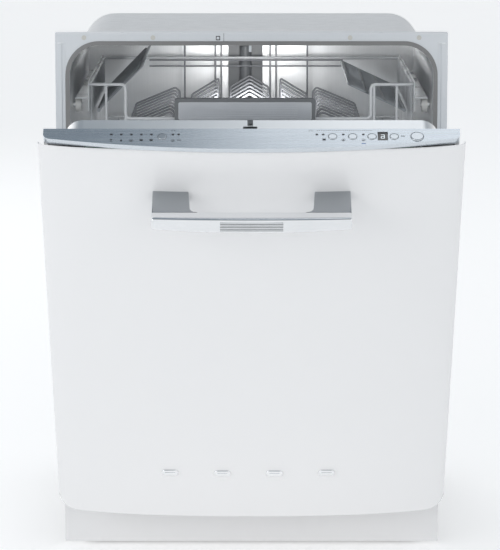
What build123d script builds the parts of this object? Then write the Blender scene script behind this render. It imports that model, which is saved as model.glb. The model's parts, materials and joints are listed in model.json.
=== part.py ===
from build123d import *
import math
import os

# Built-in dishwasher, 60 cm class, with a bulged retro door that stands ajar.
# Millimetres.  X runs left to right seen from the front, Y into the cabinet, Z up from the floor.
# Everything is drawn with the door shut and the front plane of the tub at Y = 0.  The door group is
# then swung open by DOOR_AJAR about its hinge, and the whole model is moved along Y so that the
# origin lies under the middle of its bounding box.

# ---- driving dimensions -------------------------------------------------------------------------
WIDTH = 598.0
HEIGHT = 818.0
BACK = 550.0
DOOR_AJAR = 30.0
HINGE_Y = 2.0
HINGE_Z = 122.0

# tub
TUB_HALF = 277.0
TUB_FLOOR = 126.0
TUB_TOP = 799.0
TUB_BACK = 500.0
TUB_CORNER = 45.0
SHEET = 1.5
CENTRE_X = -10.0
ARM_Y = 260.0
SUMP_X, SUMP_Y, SUMP_R = 100.0, 160.0, 55.0
SALT_X, SALT_Y, SALT_R = -180.0, 150.0, 30.0
FLOAT_X, FLOAT_Y = -190.0, 400.0

# front frame and side channels
FLANGE_HALF = 284.0
BAR_LOW = 803.0
CHANNEL_FOOT = 140.0
SCREW_HOLE_X, SCREW_HOLE_Y, SCREW_HOLE_R = 197.5, 12.0, 2.5

# base
TRAY_HALF = 270.0
TRAY_FRONT, TRAY_BACK = 66.0, 536.0
TRAY_LOW = 20.0
TRAY_WALL = 3.0
FOOT_X, FOOT_YS = 240.0, (95.0, 510.0)
KICK_Y, KICK_LOW, KICK_HIGH = 61.0, 3.0, 84.0
THREAD_START = 537.0
INLET_X, INLET_Z, INLET_R = 230.0, 70.0, 13.1
DRAIN_X, DRAIN_Z, DRAIN_R = 120.0, 95.0, 9.5
CABLE_X, CABLE_Z = -210.0, 70.0

# door
DOOR_PLANE = -3.0
LINER_HALF = 264.0
LINER_LOW, LINER_TOP = 175.0, 795.0
LINER_DEPTH = 37.0
LINER_CORNER = 26.0
PANEL_LOW, PANEL_TOP = 85.0, 801.0
PANEL_BACK = -20.0
PANEL_EDGE = -27.0
PANEL_MIDDLE = -48.0
PANEL_WALL = 2.0
PANEL_CORNER = 26.0
FASCIA_HALF = 291.5
FASCIA_TOP = 812.0
FASCIA_FRONT = -46.0
FASCIA_DROP = 4.5
BUTTON_Y = -21.0
BUTTON_R = 6.2
POWER_R = 9.2
BUTTON_GAP = 0.35
ROUND_BUTTONS = {
    "button_delay": -125.0,
    "button_program": 113.0,
    "button_half_load": 141.0,
    "button_option": 168.0,
    "button_start": 199.0,
}
POWER_X = 231.0
DISPLAY_X, DISPLAY_Y, DISPLAY_W, DISPLAY_D = 183.0, -20.0, 14.0, 17.0
SLOT_X, SLOT_W, SLOT_FRONT, SLOT_BACK = -2.0, 20.0, 6.0, 22.0

# handle
HANDLE_HALF = 140.0
POST_WIDTH = 54.0
HANDLE_TOP = 733.0
HANDLE_TALL = 24.0
HANDLE_FRONT = -112.0
BAR_DEPTH = 20.0
STUD_Z = 181.0
STUD_SIZE = (26.0, 12.0)

# dispenser on the inner door
DISPENSER_X, DISPENSER_Z = -5.0, 500.0
DISPENSER_W, DISPENSER_H = 224.0, 134.0
CUP_X, CUP_W, CUP_H, CUP_D = -52.0, 90.0, 76.0, 18.0
CAP_X, CAP_R = 62.0, 17.0

# upper basket
UPPER_HALF = 250.0
UPPER_FRONT, UPPER_BACK = 58.0, 468.0
UPPER_FLOOR, UPPER_RIM = 580.0, 733.0
NOTCH_LEFT, NOTCH_RIGHT, NOTCH_Z = -195.0, 185.0, 680.0
WIRE_R = 2.0
RIM_R = 2.5
WELD_GAP = 0.3
WIRE_STEP = 2 * WIRE_R + WELD_GAP
TINE_R = 1.6
RAIL_Z = 710.5
ROLLER_R, ROLLER_Z = 11.0, 699.0
ROLLER_PIN_R = 4.0
ROLLER_FRONT_Y, ROLLER_REAR_Y = 80.0, 250.0
RUNNING_GAP = 0.05
PLATE_W, PLATE_LOW, PLATE_HIGH = 218.0, 673.0, 713.0
SHELF_X, SHELF_Z, SHELF_W = 238.0, 690.0, 98.0
SHELF_Y0, SHELF_Y1 = 84.0, 440.0
SHELF_LEFT_TILT, SHELF_RIGHT_TILT = 45.0, 25.0
FEED_Z = 566.0

# lower basket
LOWER_HALF = 238.0
LOWER_FRONT, LOWER_BACK = 72.0, 462.0
LOWER_FLOOR, LOWER_HOOP, LOWER_RIM = 166.0, 250.0, 330.0
WHEEL_R, WHEEL_Z, WHEEL_X = 14.2, 141.0, 219.0
WHEEL_FRONT_Y, WHEEL_REAR_Y = 112.0, 420.0
WHEEL_PIN_R = 3.0
FOLD_Y, FOLD_Z = 230.0, 174.0
CUTLERY = (128.0, 222.0, 110.0, 330.0, 172.0, 296.0)

NODES = {}
DOOR_NODES = []


# ---- shape helpers ------------------------------------------------------------------------------
def block(x0, x1, y0, y1, z0, z1):
    """Box between two corners."""
    return Pos((x0 + x1) / 2, (y0 + y1) / 2, (z0 + z1) / 2) * Box(x1 - x0, y1 - y0, z1 - z0)


def rod(start, end, radius):
    """Round bar from one point to another."""
    along = Vector(*end) - Vector(*start)
    bar = Cylinder(radius, along.length, align=(Align.CENTER, Align.CENTER, Align.MIN))
    return Plane(origin=start, z_dir=along) * bar


def disc(x, y, z0, z1, radius):
    """Upright cylinder."""
    return rod((x, y, z0), (x, y, z1), radius)


def bent_rod(points, bend, radius, close=False):
    """Round wire along straight runs joined by arcs."""
    path = FilletPolyline(*points, radius=bend, close=close)
    start = Plane(origin=path @ 0, z_dir=path % 0)
    return sweep(start * Circle(radius), path=path)


def upright(outline, y0, y1):
    """Outline drawn in X and Z, made solid from Y0 to Y1."""
    return Pos(0, y1, 0) * extrude(Plane.XZ * outline, y1 - y0, dir=(0, -1, 0))


def sideways(outline, x0, x1):
    """Outline drawn in Y and Z, made solid from X0 to X1."""
    return Pos(x0, 0, 0) * extrude(Plane.YZ * outline, x1 - x0, dir=(1, 0, 0))


def rounded(x_half, z0, z1, corner):
    """Rounded rectangle in X and Z."""
    return Pos(0, (z0 + z1) / 2) * RectangleRounded(2 * x_half, z1 - z0, corner)


def fuse(shapes):
    """One solid from pieces that run into each other."""
    return shapes[0].fuse(*shapes[1:])


def both_sides(shape):
    """A piece and its mirror image across the middle plane."""
    return [shape, mirror(shape, about=Plane.YZ)]


def keep(name, *shapes, door=False):
    """Record the solids of one named piece."""
    NODES[name] = [s for shape in shapes for s in shape.solids()]
    if door:
        DOOR_NODES.append(name)


# ---- cabinet ------------------------------------------------------------------------------------
def make_tub():
    """Deep-drawn tub with its floor holes and the studs that the basket rollers turn on."""
    outer = rounded(TUB_HALF + SHEET, TUB_FLOOR - SHEET, TUB_TOP + SHEET, TUB_CORNER + SHEET)
    inner = rounded(TUB_HALF, TUB_FLOOR, TUB_TOP, TUB_CORNER)
    tub = upright(outer, SHEET, TUB_BACK + SHEET) - upright(inner, 0, TUB_BACK)
    low, high = TUB_FLOOR - 3, TUB_FLOOR + 1
    tub -= disc(SUMP_X, SUMP_Y, low, high, SUMP_R)
    tub -= disc(SALT_X, SALT_Y, low, high, SALT_R + 2)
    tub -= disc(CENTRE_X, ARM_Y, low, high, 15)
    tub -= disc(CENTRE_X, TUB_BACK - 10, low, high, 7)
    tub -= disc(FLOAT_X, FLOAT_Y, low, high, 5)
    studs = []
    for y in (ROLLER_FRONT_Y, ROLLER_REAR_Y):
        stud = rod((TUB_HALF + 0.5, y, ROLLER_Z), (TUB_HALF - 14, y, ROLLER_Z), ROLLER_PIN_R)
        studs += both_sides(stud)
    keep("tub", fuse([tub, *studs]))


def make_front_frame():
    """Flange round the tub's mouth with the folded top bar and the striker of the door lock."""
    plate = upright(Pos(0, (118 + HEIGHT) / 2) * Rectangle(2 * FLANGE_HALF, HEIGHT - 118), 0, SHEET)
    bar = block(-WIDTH / 2, WIDTH / 2, 0, SHEET, BAR_LOW, HEIGHT)
    fold = block(-WIDTH / 2, WIDTH / 2, SHEET, 25, HEIGHT - 1.2, HEIGHT)
    mouth = upright(rounded(TUB_HALF, TUB_FLOOR, TUB_TOP, TUB_CORNER), -1, SHEET + 1)
    striker = block(SLOT_X - 2, SLOT_X + 2, 12, 18, 788, TUB_TOP)
    frame = fuse([plate, bar, fold]) - mouth
    for x in (-SCREW_HOLE_X, SCREW_HOLE_X):
        frame -= disc(x, SCREW_HOLE_Y, HEIGHT - 6, HEIGHT + 2, SCREW_HOLE_R)
    keep("front_frame", frame, striker)


def make_side_channels():
    """Folded steel posts each side of the tub, with the stepped front and two fixing holes."""
    path = Polyline((285, 16), (285, 3), (290, 3), (290, 0.6), (298.4, 0.6), (298.4, 30))
    band = trace(path, line_width=1.2)
    post = Pos(0, 0, CHANNEL_FOOT) * extrude(band, BAR_LOW - 0.5 - CHANNEL_FOOT)
    for z in (320, 720):
        post -= rod((295, 20, z), (302, 20, z), 2.6)
    keep("side_channels", *both_sides(post))


def make_gasket():
    """Rubber seal round the top and sides of the mouth."""
    outer = rounded(FLANGE_HALF - 0.5, TUB_FLOOR - 60, TUB_TOP + 6.5, 51)
    inner = rounded(TUB_HALF + 0.3, TUB_FLOOR - 80, TUB_TOP + 0.3, TUB_CORNER + 0.3)
    seal = upright(outer, -2.6, 0) - upright(inner, -4, 1)
    seal -= block(-300, 300, -5, 5, 0, CHANNEL_FOOT)
    keep("door_gasket", seal)


def make_blanket():
    """Felt and bitumen blanket wrapped over the tub."""
    outer = rounded(FLANGE_HALF - 0.2, CHANNEL_FOOT - 60, TUB_TOP + 7, 52)
    inner = rounded(TUB_HALF + 1.7, CHANNEL_FOOT - 80, TUB_TOP + 1.7, TUB_CORNER + 1.7)
    wrap = upright(outer, 3.5, TUB_BACK) - upright(inner, 0, TUB_BACK + 1)
    wrap -= block(-300, 300, 0, 510, 0, CHANNEL_FOOT)
    keep("insulation_blanket", wrap)


def make_base():
    """Moulded base tray, kick plate and levelling feet."""
    tray = block(-TRAY_HALF, TRAY_HALF, TRAY_FRONT, TRAY_BACK, TRAY_LOW, TUB_FLOOR - SHEET)
    inside = TRAY_HALF - TRAY_WALL
    tray -= block(-inside, inside, TRAY_FRONT + TRAY_WALL, TRAY_BACK - TRAY_WALL, TRAY_LOW + 3, 200)
    for x, z, radius in ((INLET_X, INLET_Z, INLET_R + 0.4), (DRAIN_X, DRAIN_Z, DRAIN_R + 0.5)):
        tray -= rod((x, TRAY_BACK - 9, z), (x, TRAY_BACK + 1, z), radius)
    tray -= upright(rounded(TUB_HALF + SHEET, TUB_FLOOR - SHEET, TUB_TOP, TUB_CORNER), 0, 600)
    keep("base_tray", tray)

    back = KICK_Y + SHEET
    kick = block(-WIDTH / 2 + 3, WIDTH / 2 - 3, KICK_Y, back, KICK_LOW, KICK_HIGH)
    kick = fuse([kick, *both_sides(block(200, 240, back, TRAY_FRONT, 30, 80))])
    keep("kick_plate", kick)

    feet = []
    for x in (-FOOT_X, FOOT_X):
        for y in FOOT_YS:
            feet.append(disc(x, y, 0, 7, 20) + disc(x, y, 7, TRAY_LOW, 8))
    keep("levelling_feet", *feet)


def make_brackets():
    """Worktop brackets on the top bar and the hinge brackets with their pins."""
    tab = block(180, 215, 2, 24, HEIGHT - 2.7, HEIGHT - 1.2)
    tab += block(180, 215, 24, 25.5, HEIGHT - 11, HEIGHT - 1.2)
    tab -= disc(SCREW_HOLE_X, SCREW_HOLE_Y, HEIGHT - 6, HEIGHT + 2, SCREW_HOLE_R)
    keep("fixing_brackets", *both_sides(tab))

    plate = block(287.5, 290, 5, 28, 112, 232) + rod((287.5, HINGE_Y, HINGE_Z), (290, HINGE_Y, HINGE_Z), 9)
    pin = rod((287.5, HINGE_Y, HINGE_Z), (296, HINGE_Y, HINGE_Z), 3)
    keep("hinge_brackets", *both_sides(fuse([plate, pin])))


def lever_tip():
    """Where the balance spring hooks on, with the door ajar."""
    closed = Vector(0, 10, -40)
    turned = closed.rotate(Axis.X, DOOR_AJAR)
    return turned.Y + HINGE_Y, turned.Z + HINGE_Z


def make_springs():
    """Close-wound balance springs, as sleeves, from the door levers back to the base."""
    tip_y, tip_z = lever_tip()
    start, stop = (292.5, tip_y + 14, tip_z), (292.5, 330, tip_z)
    coil = rod(start, stop, 6.2) - rod((292.5, tip_y, tip_z), (292.5, 340, tip_z), 4.2)
    keep("balance_springs", *both_sides(coil))


def make_sump():
    """Sump pot, the pillar that feeds the lower spray arm, and the flat filter plate."""
    pot = disc(SUMP_X, SUMP_Y, 58, TUB_FLOOR - SHEET, SUMP_R - 1)
    pot += disc(SUMP_X, SUMP_Y, 120, TUB_FLOOR - SHEET, SUMP_R + 12)
    pot -= disc(SUMP_X, SUMP_Y, 61, 130, SUMP_R - 4)
    pillar = disc(CENTRE_X, ARM_Y, 100, 138, 14) + disc(CENTRE_X, ARM_Y, 138, 147, 9)
    pillar -= disc(CENTRE_X, ARM_Y, 90, 150, 6)
    keep("sump", pot, pillar)

    plate = Pos(SUMP_X, SUMP_Y, TUB_FLOOR) * extrude(RectangleRounded(150, 130, 24), 1.6)
    plate -= disc(SUMP_X, SUMP_Y, 120, 130, 35)
    for ring in range(18):
        a = math.radians(20 * ring)
        x, y = SUMP_X + 48 * math.cos(a), SUMP_Y + 48 * math.sin(a)
        plate -= disc(x, y, 120, 130, 3)
    keep("flat_filter", plate)

    cup = disc(SUMP_X, SUMP_Y, 66, 129, 33) - disc(SUMP_X, SUMP_Y, 68, 140, 31)
    cup += disc(SUMP_X, SUMP_Y, 129, 132, 38) - disc(SUMP_X, SUMP_Y, 120, 140, 31)
    cup += block(SUMP_X - 32, SUMP_X + 32, SUMP_Y - 3, SUMP_Y + 3, 129, 137)
    keep("filter_cup", cup)


def make_base_machinery():
    """Softener, pumps, valve, air break, hoses and terminal box."""
    tank = block(-238, -120, 95, 300, 26, 116) + disc(SALT_X, SALT_Y, 116, 133, SALT_R)
    tank -= disc(SALT_X, SALT_Y, 60, 140, SALT_R - 4)
    keep("water_softener", tank)
    cap = disc(SALT_X, SALT_Y, 127, 138, 36) - disc(SALT_X, SALT_Y, 120, 134.5, SALT_R + 0.5)
    for turn in range(8):
        a = math.radians(45 * turn)
        cap -= disc(SALT_X + 38 * math.cos(a), SALT_Y + 38 * math.sin(a), 120, 140, 4.5)
    keep("salt_cap", cap)

    dome = disc(FLOAT_X, FLOAT_Y, 128, 146, 18) - disc(FLOAT_X, FLOAT_Y, 120, 143, 16)
    keep("overflow_float", dome + disc(FLOAT_X, FLOAT_Y, 112, 144, 4))

    volute = disc(-40, 370, 40, 76, 42) + rod((-40, 370, 58), (-40, 440, 58), 14)
    motor = rod((2.2, 370, 58), (92, 370, 58), 34)
    keep("circulation_pump", volute, motor)
    body = disc(200, 230, 40, 84, 27) + rod((200, 230, 62), (200, 300, 62), 9)
    outlet = rod((DRAIN_X, 500, DRAIN_Z), (DRAIN_X, THREAD_START, DRAIN_Z), DRAIN_R - 0.9)
    outlet += rod((DRAIN_X, THREAD_START, DRAIN_Z), (DRAIN_X, BACK, DRAIN_Z), DRAIN_R)
    outlet += rod((DRAIN_X, 518, DRAIN_Z), (DRAIN_X, 524, DRAIN_Z), 14)
    outlet -= rod((DRAIN_X, 499, DRAIN_Z), (DRAIN_X, BACK + 1, DRAIN_Z), 7)
    keep("drain_pump", body, outlet)
    valve = block(212, 248, 490, 532, 50, 92)
    valve += rod((INLET_X, 532, INLET_Z), (INLET_X, THREAD_START, INLET_Z), INLET_R - 1.6)
    valve += rod((INLET_X, THREAD_START, INLET_Z), (INLET_X, BACK, INLET_Z), INLET_R)
    keep("inlet_valve", valve - rod((INLET_X, 534, INLET_Z), (INLET_X, BACK + 1, INLET_Z), 9))

    chamber = block(-298.5, -286, 120, 330, 300, 600)
    for z in range(330, 600, 45):
        chamber -= block(-299, -296.5, 128, 322, z, z + 30)
    keep("air_break", chamber)

    box = block(-245, -175, TRAY_BACK, 544, 45, 95)
    box += rod((CABLE_X, 544, CABLE_Z), (CABLE_X, BACK, CABLE_Z), 10)
    keep("terminal_box", box - rod((CABLE_X, TRAY_BACK - 1, CABLE_Z), (CABLE_X, BACK + 1, CABLE_Z), 5))

    feed = bent_rod([(-40, 441, 58), (-40, 465, 58), (CENTRE_X, 465, 108), (CENTRE_X, 465, 118)], 6, 6)
    suction = bent_rod([(SUMP_X, 217, 80), (SUMP_X, 300, 80), (110, 330, 80), (110, 344, 80)], 8, 7)
    drain = bent_rod([(200, 301, 62), (200, 420, 62), (120, 440, 95), (120, 499, 95)], 20, 7)
    fill = bent_rod([(230, 489, 71), (230, 350, 71), (245, 310, 71), (245, 240, 71)], 14, 5)
    keep("hoses", feed, suction, drain, fill)

    screws = []
    for x in (-255, -150, 150, 255):
        screws.append(rod((x, -1.6, 811), (x, 0, 811), 3.6))
    for x in (-262, 262):
        for y in (90, 500):
            screws.append(disc(x, y, 17.5, TRAY_LOW, 4))
    keep("cabinet_screws", *screws)


def make_rear_duct():
    """Water duct up the back wall, with the docking mouth of the upper spray arm."""
    half = 29.0
    duct = block(CENTRE_X - half, CENTRE_X + half, 486, TUB_BACK, 127, 752)
    duct += rod((CENTRE_X, 486, 752), (CENTRE_X, TUB_BACK, 752), half)
    tube = disc(CENTRE_X, 482, 140, 752, 10)
    mouth = rod((CENTRE_X, 478.5, FEED_Z), (CENTRE_X, 490, FEED_Z), 15)
    mouth -= rod((CENTRE_X, 477, FEED_Z), (CENTRE_X, 488, FEED_Z), 9)
    keep("rear_duct", fuse([duct, tube, mouth]) - rod((CENTRE_X, 477, FEED_Z), (CENTRE_X, 488, FEED_Z), 9))


def make_rollers():
    """Nylon rollers on the tub studs, one pair at the front and one further back."""
    for name, y in (("rollers_front", ROLLER_FRONT_Y), ("rollers_rear", ROLLER_REAR_Y)):
        wheel = rod((264.5, y, ROLLER_Z), (273.5, y, ROLLER_Z), ROLLER_R)
        wheel -= rod((260, y, ROLLER_Z), (280, y, ROLLER_Z), ROLLER_PIN_R + RUNNING_GAP)
        keep(name, *both_sides(wheel))


def spray_arm(x, y, z, reach, bore):
    """Two-bladed spray arm with nozzle bosses and a turning hub."""
    blade = Pos(x, y, z) * extrude(Ellipse(reach, 24), 8)
    arm = blade + disc(x, y, z, z + 10, 27)
    for step in range(-4, 5):
        if step:
            arm += disc(x + step * reach / 5, y + 6, z + 8, z + 9.5, 4)
    return arm - disc(x, y, z - 1, z + bore[1], bore[0])


# ---- upper basket -------------------------------------------------------------------------------
def make_upper_basket():
    """Wire basket with its stepped rim, its side rails and the upright tines."""
    rim_points = [
        (-UPPER_HALF, UPPER_BACK, UPPER_RIM),
        (UPPER_HALF, UPPER_BACK, UPPER_RIM),
        (UPPER_HALF, UPPER_FRONT, UPPER_RIM),
        (NOTCH_RIGHT, UPPER_FRONT, UPPER_RIM),
        (NOTCH_RIGHT, UPPER_FRONT, NOTCH_Z),
        (NOTCH_LEFT, UPPER_FRONT, NOTCH_Z),
        (NOTCH_LEFT, UPPER_FRONT, UPPER_RIM),
        (-UPPER_HALF, UPPER_FRONT, UPPER_RIM),
    ]
    wires = [bent_rod(rim_points, 12, RIM_R, close=True)]
    under_rim = RIM_R + WELD_GAP
    for y in range(100, 441, 68):
        across = [(-UPPER_HALF, y, UPPER_RIM - under_rim), (-UPPER_HALF, y, UPPER_FLOOR)]
        across += [(UPPER_HALF, y, UPPER_FLOOR), (UPPER_HALF, y, UPPER_RIM - under_rim)]
        wires.append(bent_rod(across, 20, WIRE_R))
    low = UPPER_FLOOR - WIRE_STEP
    for x in (-225, -165, -105, -45, 35, 95, 155, 225):
        top = NOTCH_Z if NOTCH_LEFT < x < NOTCH_RIGHT else UPPER_RIM
        along = [(x, UPPER_FRONT, top - under_rim), (x, UPPER_FRONT, low)]
        along += [(x, UPPER_BACK, low), (x, UPPER_BACK, UPPER_RIM - under_rim)]
        wires.append(bent_rod(along, 20, WIRE_R))
    inner = UPPER_HALF + under_rim
    rail = block(inner, inner + 2, 60, 470, 690, 738)
    rail += block(inner + 2, 273, 60, 470, RAIL_Z, RAIL_Z + 2)
    keep("upper_basket", *wires, *both_sides(rail))

    tines = []
    base = UPPER_FLOOR + WIRE_STEP
    for x in (-120, -72, 50, 98):
        row = [rod((x, 84, base), (x, 440, base), WIRE_R)]
        for y in range(96, 440, 32):
            row.append(rod((x, y, base), (x, y - 14, base + 62), TINE_R))
        tines.append(fuse(row))
    keep("upper_tines", *tines)

    half = PLATE_W / 2
    middle = (PLATE_LOW + PLATE_HIGH) / 2
    grip = Pos(CENTRE_X, middle) * RectangleRounded(2 * half, PLATE_HIGH - PLATE_LOW, 5)
    hollow = Pos(CENTRE_X, middle) * RectangleRounded(2 * half - 12, PLATE_HIGH - PLATE_LOW - 12, 3)
    frame = upright(grip, 45, 54) - upright(hollow, 44, 50)
    keep("upper_handle", frame)

    tube = rod((CENTRE_X, 469, FEED_Z), (CENTRE_X, ARM_Y, FEED_Z), 7.5)
    neck = disc(CENTRE_X, ARM_Y, 548, FEED_Z + 7, 9)
    keep("upper_feed_tube", tube + neck)
    keep("upper_spray_arm", spray_arm(CENTRE_X, ARM_Y, 546.5, 190, (9 + RUNNING_GAP, 20)))


def make_shelf(side, tilt):
    """Fold-down cup shelf: a slotted flap on a rod along the basket's side."""
    flap = block(0, SHELF_W, SHELF_Y0, SHELF_Y1, -1.5, 1.5)
    slots = 11
    pitch = (SHELF_Y1 - SHELF_Y0 - 8) / slots
    for i in range(slots):
        y = SHELF_Y0 + 8 + i * pitch
        flap -= block(10, SHELF_W - 8, y, y + pitch - 8, -5, 5)
    flap += rod((0, SHELF_Y0, 0), (0, SHELF_Y1, 0), 3)
    flap = Rot(0, -tilt, 0) * flap
    if side > 0:
        flap = mirror(flap, about=Plane.YZ)
    return Pos(side * SHELF_X, 0, SHELF_Z) * flap


# ---- lower basket -------------------------------------------------------------------------------
def make_lower_basket():
    """Wire basket on four wheels, with folding tines and a cutlery basket."""
    wires = []
    for z, out, radius in ((LOWER_RIM, 0, RIM_R), (LOWER_HOOP, WIRE_STEP, WIRE_R)):
        half, front, back = LOWER_HALF + out, LOWER_FRONT - out, LOWER_BACK + out
        loop = [(-half, back, z), (half, back, z), (half, front, z), (-half, front, z)]
        wires.append(bent_rod(loop, 20, radius, close=True))
    top = LOWER_RIM - RIM_R - WELD_GAP
    for y in range(int(WHEEL_FRONT_Y), int(WHEEL_REAR_Y) + 1, 44):
        across = [(-LOWER_HALF, y, top), (-LOWER_HALF, y, LOWER_FLOOR)]
        across += [(LOWER_HALF, y, LOWER_FLOOR), (LOWER_HALF, y, top)]
        wires.append(bent_rod(across, 20, WIRE_R))
    low = LOWER_FLOOR - WIRE_STEP
    for x in (-200, -140, -80, -20, 40, 100, 160, 205):
        along = [(x, LOWER_FRONT, top), (x, LOWER_FRONT, low)]
        along += [(x, LOWER_BACK, low), (x, LOWER_BACK, top)]
        wires.append(bent_rod(along, 20, WIRE_R))
    for y in (WHEEL_FRONT_Y, WHEEL_REAR_Y):
        hanger = block(WHEEL_X + 7, WHEEL_X + 11, y - 8, y + 8, WHEEL_Z - 8, LOWER_FLOOR - WIRE_R)
        hanger += rod((WHEEL_X + 8, y, WHEEL_Z), (WHEEL_X - 7, y, WHEEL_Z), WHEEL_PIN_R)
        wires += both_sides(hanger)
    keep("lower_basket", *wires)

    for name, y in (("wheels_front", WHEEL_FRONT_Y), ("wheels_rear", WHEEL_REAR_Y)):
        wheel = rod((WHEEL_X - 6, y, WHEEL_Z), (WHEEL_X + 6, y, WHEEL_Z), WHEEL_R)
        bore = WHEEL_PIN_R + RUNNING_GAP
        wheel -= rod((WHEEL_X - 9, y, WHEEL_Z), (WHEEL_X + 9, y, WHEEL_Z), bore)
        keep(name, *both_sides(wheel))

    row = [rod((-206, FOLD_Y, FOLD_Z), (100, FOLD_Y, FOLD_Z), 2.2)]
    for x in range(-196, 97, 34):
        row.append(rod((x, FOLD_Y, FOLD_Z), (x, FOLD_Y, FOLD_Z + 92), TINE_R + 0.2))
    keep("folding_tines", fuse(row))

    x0, x1, y0, y1, z0, z1 = CUTLERY
    basket = block(x0, x1, y0, y1, z0, z1) - block(x0 + 2, x1 - 2, y0 + 2, y1 - 2, z0 + 2, z1 + 1)
    for y in range(int(y0) + 12, int(y1) - 12, 18):
        basket -= block(x0 - 1, x1 + 1, y, y + 10, z0 + 14, z1 - 16)
    basket += block(x0, x1, (y0 + y1) / 2 - 3, (y0 + y1) / 2 + 3, z1 - 8, z1 + 14)
    keep("cutlery_basket", basket)


# ---- door ---------------------------------------------------------------------------------------
def panel_block(inset, z0, z1):
    """Solid filling the bulged outer panel, drawn in by an inset."""
    half = WIDTH / 2 - inset
    edge = PANEL_EDGE + inset
    middle = PANEL_MIDDLE + inset
    back = PANEL_BACK + inset / 2
    outline = [
        Line((-half, back), (half, back)),
        Line((half, back), (half, edge)),
        ThreePointArc((half, edge), (0, middle), (-half, edge)),
        Line((-half, edge), (-half, back)),
    ]
    face = make_face(outline)
    front = face.vertices().sort_by(Axis.Y)[:2]
    face = fillet(front, 6)
    return Pos(0, 0, z0) * extrude(face, z1 - z0)


def make_outer_panel():
    """White bulged front: pressed skin with rounded bottom corners."""
    solid = panel_block(0, PANEL_LOW, PANEL_TOP)
    front_shape = rounded(WIDTH / 2, PANEL_LOW, PANEL_TOP + 80, PANEL_CORNER)
    solid = solid & upright(front_shape, -80, 0)
    inner = panel_block(PANEL_WALL, PANEL_LOW + PANEL_WALL, PANEL_TOP - PANEL_WALL)
    inner_shape = rounded(WIDTH / 2 - PANEL_WALL, PANEL_LOW + PANEL_WALL, PANEL_TOP + 80, PANEL_CORNER - 2)
    inner = inner & upright(inner_shape, -80, 0)
    keep("outer_panel", solid - inner, door=True)
    return solid


def make_door_liner():
    """Stainless inner door: sealing flange, side returns and the pan that fits inside the mouth."""
    plate = block(-292, 292, DOOR_PLANE - SHEET, DOOR_PLANE, 150, 797)
    plate += block(-286, 286, DOOR_PLANE - SHEET, DOOR_PLANE, 100, 150)
    pan = upright(rounded(LINER_HALF, LINER_LOW, LINER_TOP, LINER_CORNER), DOOR_PLANE, LINER_DEPTH)
    hollow = upright(
        rounded(LINER_HALF - SHEET, LINER_LOW + SHEET, LINER_TOP - SHEET, LINER_CORNER - SHEET),
        DOOR_PLANE - 5,
        LINER_DEPTH - SHEET,
    )
    flanges = both_sides(block(284.5, 286, PANEL_BACK + 1.2, DOOR_PLANE - SHEET, 100, 797))
    foot = block(-284.5, 284.5, PANEL_BACK + 1.2, DOOR_PLANE - SHEET, 100, 101.5)
    liner = fuse([plate, pan, *flanges, foot]) - hollow
    x0, x1 = SLOT_X - SLOT_W / 2, SLOT_X + SLOT_W / 2
    liner -= block(x0, x1, SLOT_FRONT, SLOT_BACK, 780, LINER_TOP + 1)
    liner -= block(SLOT_X - 4, SLOT_X + 4, SLOT_BACK - 1, LINER_DEPTH + 1, 785, LINER_TOP + 1)
    opening = Pos(DISPENSER_X, DISPENSER_Z) * RectangleRounded(DISPENSER_W + 1, DISPENSER_H + 1, 12)
    liner -= upright(opening, 30, 40)
    keep("door_liner", liner, door=True)

    seal = block(-258, 258, DOOR_PLANE, 1, 140, 148)
    keep("lower_door_seal", seal, door=True)


def make_dispenser():
    """Detergent dispenser let into the inner door, its sprung lid and the rinse-aid cap."""
    outline = Pos(DISPENSER_X, DISPENSER_Z) * RectangleRounded(DISPENSER_W, DISPENSER_H, 11.5)
    flange = Pos(DISPENSER_X, DISPENSER_Z) * RectangleRounded(DISPENSER_W + 14, DISPENSER_H + 14, 16)
    body = upright(outline, 8, LINER_DEPTH) + upright(flange, LINER_DEPTH, LINER_DEPTH + 1.5)
    cup = Pos(CUP_X, DISPENSER_Z) * RectangleRounded(CUP_W, CUP_H, 10)
    body -= upright(cup, LINER_DEPTH - CUP_D, LINER_DEPTH + 3)
    body -= rod((CAP_X, LINER_DEPTH - 6, DISPENSER_Z), (CAP_X, LINER_DEPTH + 3, DISPENSER_Z), CAP_R + 0.6)
    keep("dispenser_body", body, door=True)

    lid = Pos(CUP_X, DISPENSER_Z) * RectangleRounded(CUP_W + 8, CUP_H + 8, 12)
    y0 = LINER_DEPTH + 1.9
    cover = upright(lid, y0, y0 + 2.4)
    cover += block(CUP_X + 36, CUP_X + 46, y0 + 2.4, y0 + 4, DISPENSER_Z - 12, DISPENSER_Z + 12)
    cover += disc(CUP_X - CUP_W / 2 - 4, y0 + 1.2, DISPENSER_Z - 30, DISPENSER_Z + 30, 1.2)
    keep("dispenser_lid", cover, door=True)

    cap = rod((CAP_X, LINER_DEPTH - 5.5, DISPENSER_Z), (CAP_X, LINER_DEPTH + 2.5, DISPENSER_Z), CAP_R)
    grip = Pos(CAP_X, DISPENSER_Z) * Rectangle(28, 5)
    cap += upright(grip, LINER_DEPTH + 2.5, LINER_DEPTH + 5)
    keep("rinse_aid_cap", cap, door=True)


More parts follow.
